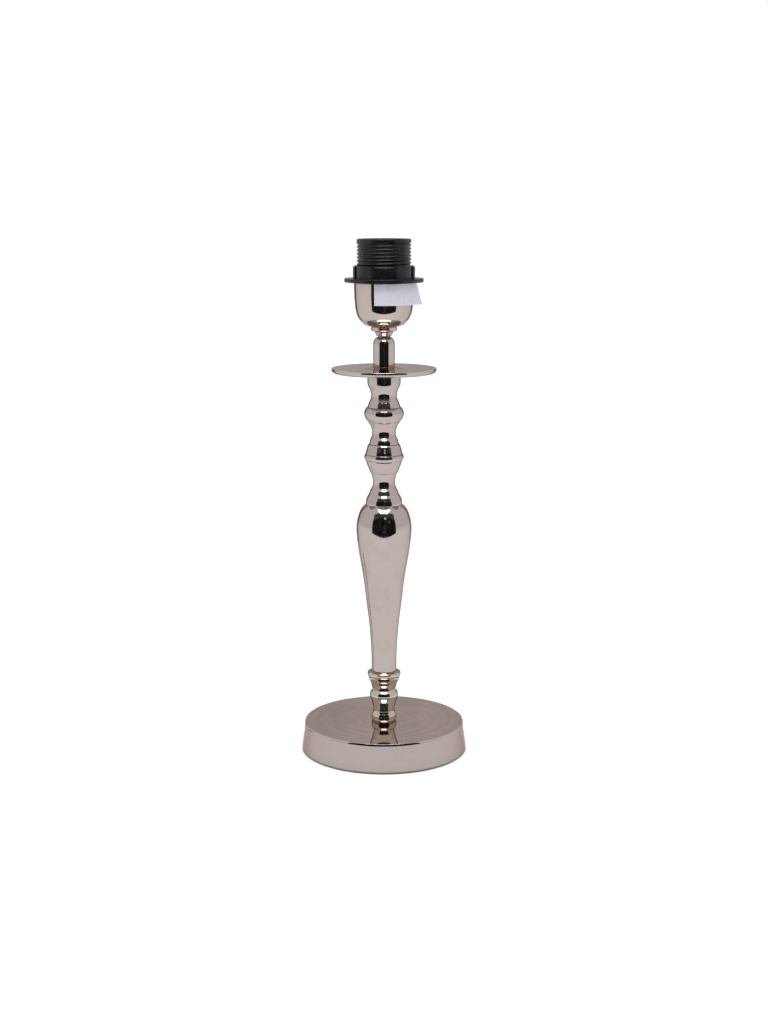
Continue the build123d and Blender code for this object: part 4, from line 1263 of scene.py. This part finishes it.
class LAMP_OT_lampholder(LampOperator, bpy.types.Operator):
    """Cut the lampholder's threaded skirt and finish its ring, cap and insert"""

    bl_idname = "lamp.lampholder"
    bl_label = "Lampholder"

    def execute(self, context):
        holder = context.scene.lamp.holder
        steps = context.scene.lamp.turning.steps
        bottom, top = node_bottom("holder_skirt"), node_top("holder_skirt")
        foot_top = bottom + holder.skirt_foot
        low = foot_top + holder.plain_foot
        high = top - holder.plain_top
        wall = thread_wall(self.tooth(holder), holder.pitch, low, high, steps)
        bore = holder.barrel - holder.thread_depth - holder.skirt_wall
        chamber = bore - holder.ledge
        lip = chamber - holder.lip_reach
        block_top = node_top("contact_block")
        outline = (
            (holder.barrel, high + 0.0003),
            (holder.barrel, top - holder.top_chamfer),
            (holder.barrel - holder.top_chamfer, top),
            (lip + holder.lip_chamfer, top),
            (lip, top - holder.lip_chamfer),
            (lip, top - holder.lip_height),
            (chamber, top - holder.lip_height),
            (chamber, block_top),
            (bore, block_top),
            (bore, bottom),
            (holder.barrel - holder.skirt_step, bottom),
            (holder.barrel - holder.skirt_step, foot_top),
            (holder.barrel, foot_top + holder.skirt_step),
            (holder.barrel, low - 0.0003),
        )
        close_with(wall, outline, steps, open_loops(wall)[::-1])
        piece("holder_skirt_threaded", wall, "holder_plastic", ["holder_skirt"])
        dress("shade_ring", "holder_plastic")
        dress("holder_cap", "cap_plastic")
        dress("cap_insert", "terminal_brass")
        dress("cap_lock_screw", "zinc_plate")
        return {"FINISHED"}

    def tooth(self, holder):
        """Outline of one turn of the barrel's thread, its corners slightly rounded."""
        crest = holder.crest / holder.pitch / 2
        root = 0.5 - holder.root / holder.pitch / 2
        depth = holder.thread_depth
        soft = 0.10
        slope = (root - crest) * soft
        peak = holder.barrel
        return (
            (peak, crest * 0.75),
            (peak - depth * soft, crest + slope),
            (peak - depth * (1 - soft), root - slope),
            (peak - depth, root + slope),
            (peak - depth, 1 - root - slope),
            (peak - depth * (1 - soft), 1 - root + slope),
            (peak - depth * soft, 1 - crest - slope),
            (peak, 1 - crest * 0.75),
        )


class LAMP_OT_socket(LampOperator, bpy.types.Operator):
    """Roll the lamp's threaded shell and finish the contact block, contacts and terminals"""

    bl_idname = "lamp.socket"
    bl_label = "Shell and Contacts"

    def execute(self, context):
        holder = context.scene.lamp.holder
        steps = 128
        bottom, top = node_bottom("screw_shell"), node_top("screw_shell")
        low = bottom + holder.shell_foot
        turns = int((top - holder.shell_foot - low) / holder.shell_pitch)
        high = low + turns * holder.shell_pitch
        inside, sheet = holder.shell, holder.shell_wall
        outside = inside + sheet
        middle = inside - holder.shell_depth
        bm = thread_wall(self.wave(outside, holder.shell_depth), holder.shell_pitch, low, high, steps)
        join(bm, thread_wall(self.wave(inside, holder.shell_depth), holder.shell_pitch, low, high, steps))
        inner_low, outer_low, inner_high, outer_high = open_loops(bm)
        runout = holder.shell_pitch / 5
        mouth = (
            (outside, high + runout),
            (outside, top),
            (inside, top),
            (inside, high + runout),
        )
        close_with(bm, mouth, steps, (outer_high, inner_high))
        floor = (
            (outside, low - runout),
            (outside, bottom + sheet),
            (outside - sheet, bottom),
            (holder.shell_hole, bottom),
            (holder.shell_hole, bottom + sheet),
            (inside - sheet / 2, bottom + sheet),
            (inside, bottom + sheet * 1.5),
            (inside, low - runout),
        )
        close_with(bm, floor, steps, (outer_low, inner_low))
        piece("screw_shell_rolled", bm, "shell_sheet", ["screw_shell"])
        for node in ("shell_rivets", "neutral_rivet", "contact_rivet", "line_terminal", "neutral_terminal"):
            dress(node, "terminal_brass")
        dress("contact_block", "block_ceramic")
        dress("centre_contact", "contact_bronze")
        dress("terminal_screws", "zinc_plate")
        return {"FINISHED"}

    def wave(self, radius, depth, parts=16):
        """Outline of one turn of the rolled thread."""
        return [(radius - depth * (0.5 - 0.5 * math.cos(FULL_TURN * i / parts)), i / parts) for i in range(parts)]


class LAMP_OT_label(LampOperator, bpy.types.Operator):
    """Wrap the blank paper label round the cup and let its end stand free"""

    bl_idname = "lamp.label"
    bl_label = "Label"

    def execute(self, context):
        label = context.scene.lamp.label
        bottom, top = node_bottom("blank_label"), node_top("blank_label")
        rows = 12
        bm = bmesh.new()
        low = bm.verts.new((label.radius - label.lean, 0.0, bottom))
        high = bm.verts.new((label.radius, 0.0, top))
        bm.edges.new((low, high))
        bmesh.ops.subdivide_edges(bm, edges=bm.edges[:], cuts=rows)
        start = label.start - QUARTER_TURN
        bmesh.ops.rotate(bm, matrix=Matrix.Rotation(start, 3, "Z"), verts=bm.verts)
        wound = bmesh.ops.spin(
            bm,
            geom=bm.verts[:] + bm.edges[:],
            cent=(0.0, 0.0, 0.0),
            axis=(0.0, 0.0, 1.0),
            dvec=(0.0, 0.0, 0.0),
            angle=label.wrap,
            steps=34,
        )
        last = [item for item in wound["geom_last"] if isinstance(item, bmesh.types.BMEdge)]
        heading = start + label.wrap + QUARTER_TURN
        parts = 12
        for number in range(parts):
            grown = bmesh.ops.extrude_edge_only(bm, edges=last)["geom"]
            last = [item for item in grown if isinstance(item, bmesh.types.BMEdge)]
            turn_out = heading - label.curl * (number + 0.5) / parts
            step = Vector((math.cos(turn_out), math.sin(turn_out), 0.0)) * label.free / parts
            verts = [item for item in grown if isinstance(item, bmesh.types.BMVert)]
            bmesh.ops.translate(bm, vec=step, verts=verts)
        self.cut_end(bm, label, heading, start + label.wrap, bottom, top)
        bmesh.ops.recalc_face_normals(bm, faces=bm.faces)
        bmesh.ops.solidify(bm, geom=bm.faces[:], thickness=label.thickness)
        piece("paper_label", bm, "label_paper", ["blank_label"])
        return {"FINISHED"}

    def cut_end(self, bm, label, heading, end_angle, bottom, top):
        """Cuts the free end aslant, so that its upper corner is the shorter one."""
        along = Vector((math.cos(heading), math.sin(heading), 0.0))
        leave = Vector((math.cos(end_angle), math.sin(end_angle), 0.0)) * label.radius
        corner = leave + along * label.free * 0.995 + Vector((0.0, 0.0, bottom))
        slope = Vector((0.0, 0.0, top - bottom)) - along * label.slant
        across = Vector((-along.y, along.x, 0.0))
        normal = slope.cross(across).normalized()
        if normal.dot(along) < 0:
            normal.negate()
        bmesh.ops.bisect_plane(
            bm,
            geom=bm.verts[:] + bm.edges[:] + bm.faces[:],
            plane_co=corner,
            plane_no=normal,
            clear_outer=True,
        )


class LAMP_OT_underside(LampOperator, bpy.types.Operator):
    """Finish the felt, the board, the weight, the fasteners and the inlet bush"""

    bl_idname = "lamp.underside"
    bl_label = "Underside"

    def execute(self, context):
        dress("foot_felt", "foot_felt")
        dress("bottom_plate", "pressed_board")
        dress("foot_weight", "cast_iron")
        dress("cord_bush", "bush_rubber")
        for node in ("foot_washer", "foot_lock_washer", "foot_nut"):
            dress(node, "zinc_plate")
        return {"FINISHED"}


class LAMP_PT_panel(bpy.types.Panel):
    """The lamp's operators and settings, in the sidebar"""

    bl_idname = "LAMP_PT_panel"
    bl_label = "Turned Table Lamp"
    bl_space_type = "VIEW_3D"
    bl_region_type = "UI"
    bl_category = "Lamp"

    def draw(self, context):
        layout = self.layout
        for operator in OPERATORS:
            layout.operator(operator.bl_idname)
        settings = context.scene.lamp
        for group in settings.bl_rna.properties.keys():
            if group in {"rna_type", "name"}:
                continue
            box = layout.box()
            box.label(text=group.capitalize())
            values = getattr(settings, group)
            for key in values.bl_rna.properties.keys():
                if key not in {"rna_type", "name"}:
                    box.prop(values, key)


GROUPS = (
    LampTurning,
    LampFoot,
    LampColumn,
    LampPan,
    LampHolder,
    LampRod,
    LampLabel,
    LampColours,
    LampStudio,
    LampSettings,
)
OPERATORS = (
    LAMP_OT_studio,
    LAMP_OT_foot,
    LAMP_OT_column,
    LAMP_OT_pan,
    LAMP_OT_rod,
    LAMP_OT_cup,
    LAMP_OT_lampholder,
    LAMP_OT_socket,
    LAMP_OT_label,
    LAMP_OT_underside,
)


def register():
    for cls in (*GROUPS, *OPERATORS, LAMP_PT_panel):
        bpy.utils.register_class(cls)
    bpy.types.Scene.lamp = PointerProperty(type=LampSettings)


def unregister():
    del bpy.types.Scene.lamp
    for cls in reversed((*GROUPS, *OPERATORS, LAMP_PT_panel)):
        bpy.utils.unregister_class(cls)


def main():
    register()
    for operator in OPERATORS:
        space, name = operator.bl_idname.split(".")
        getattr(getattr(bpy.ops, space), name)()


if __name__ == "__main__":
    main()
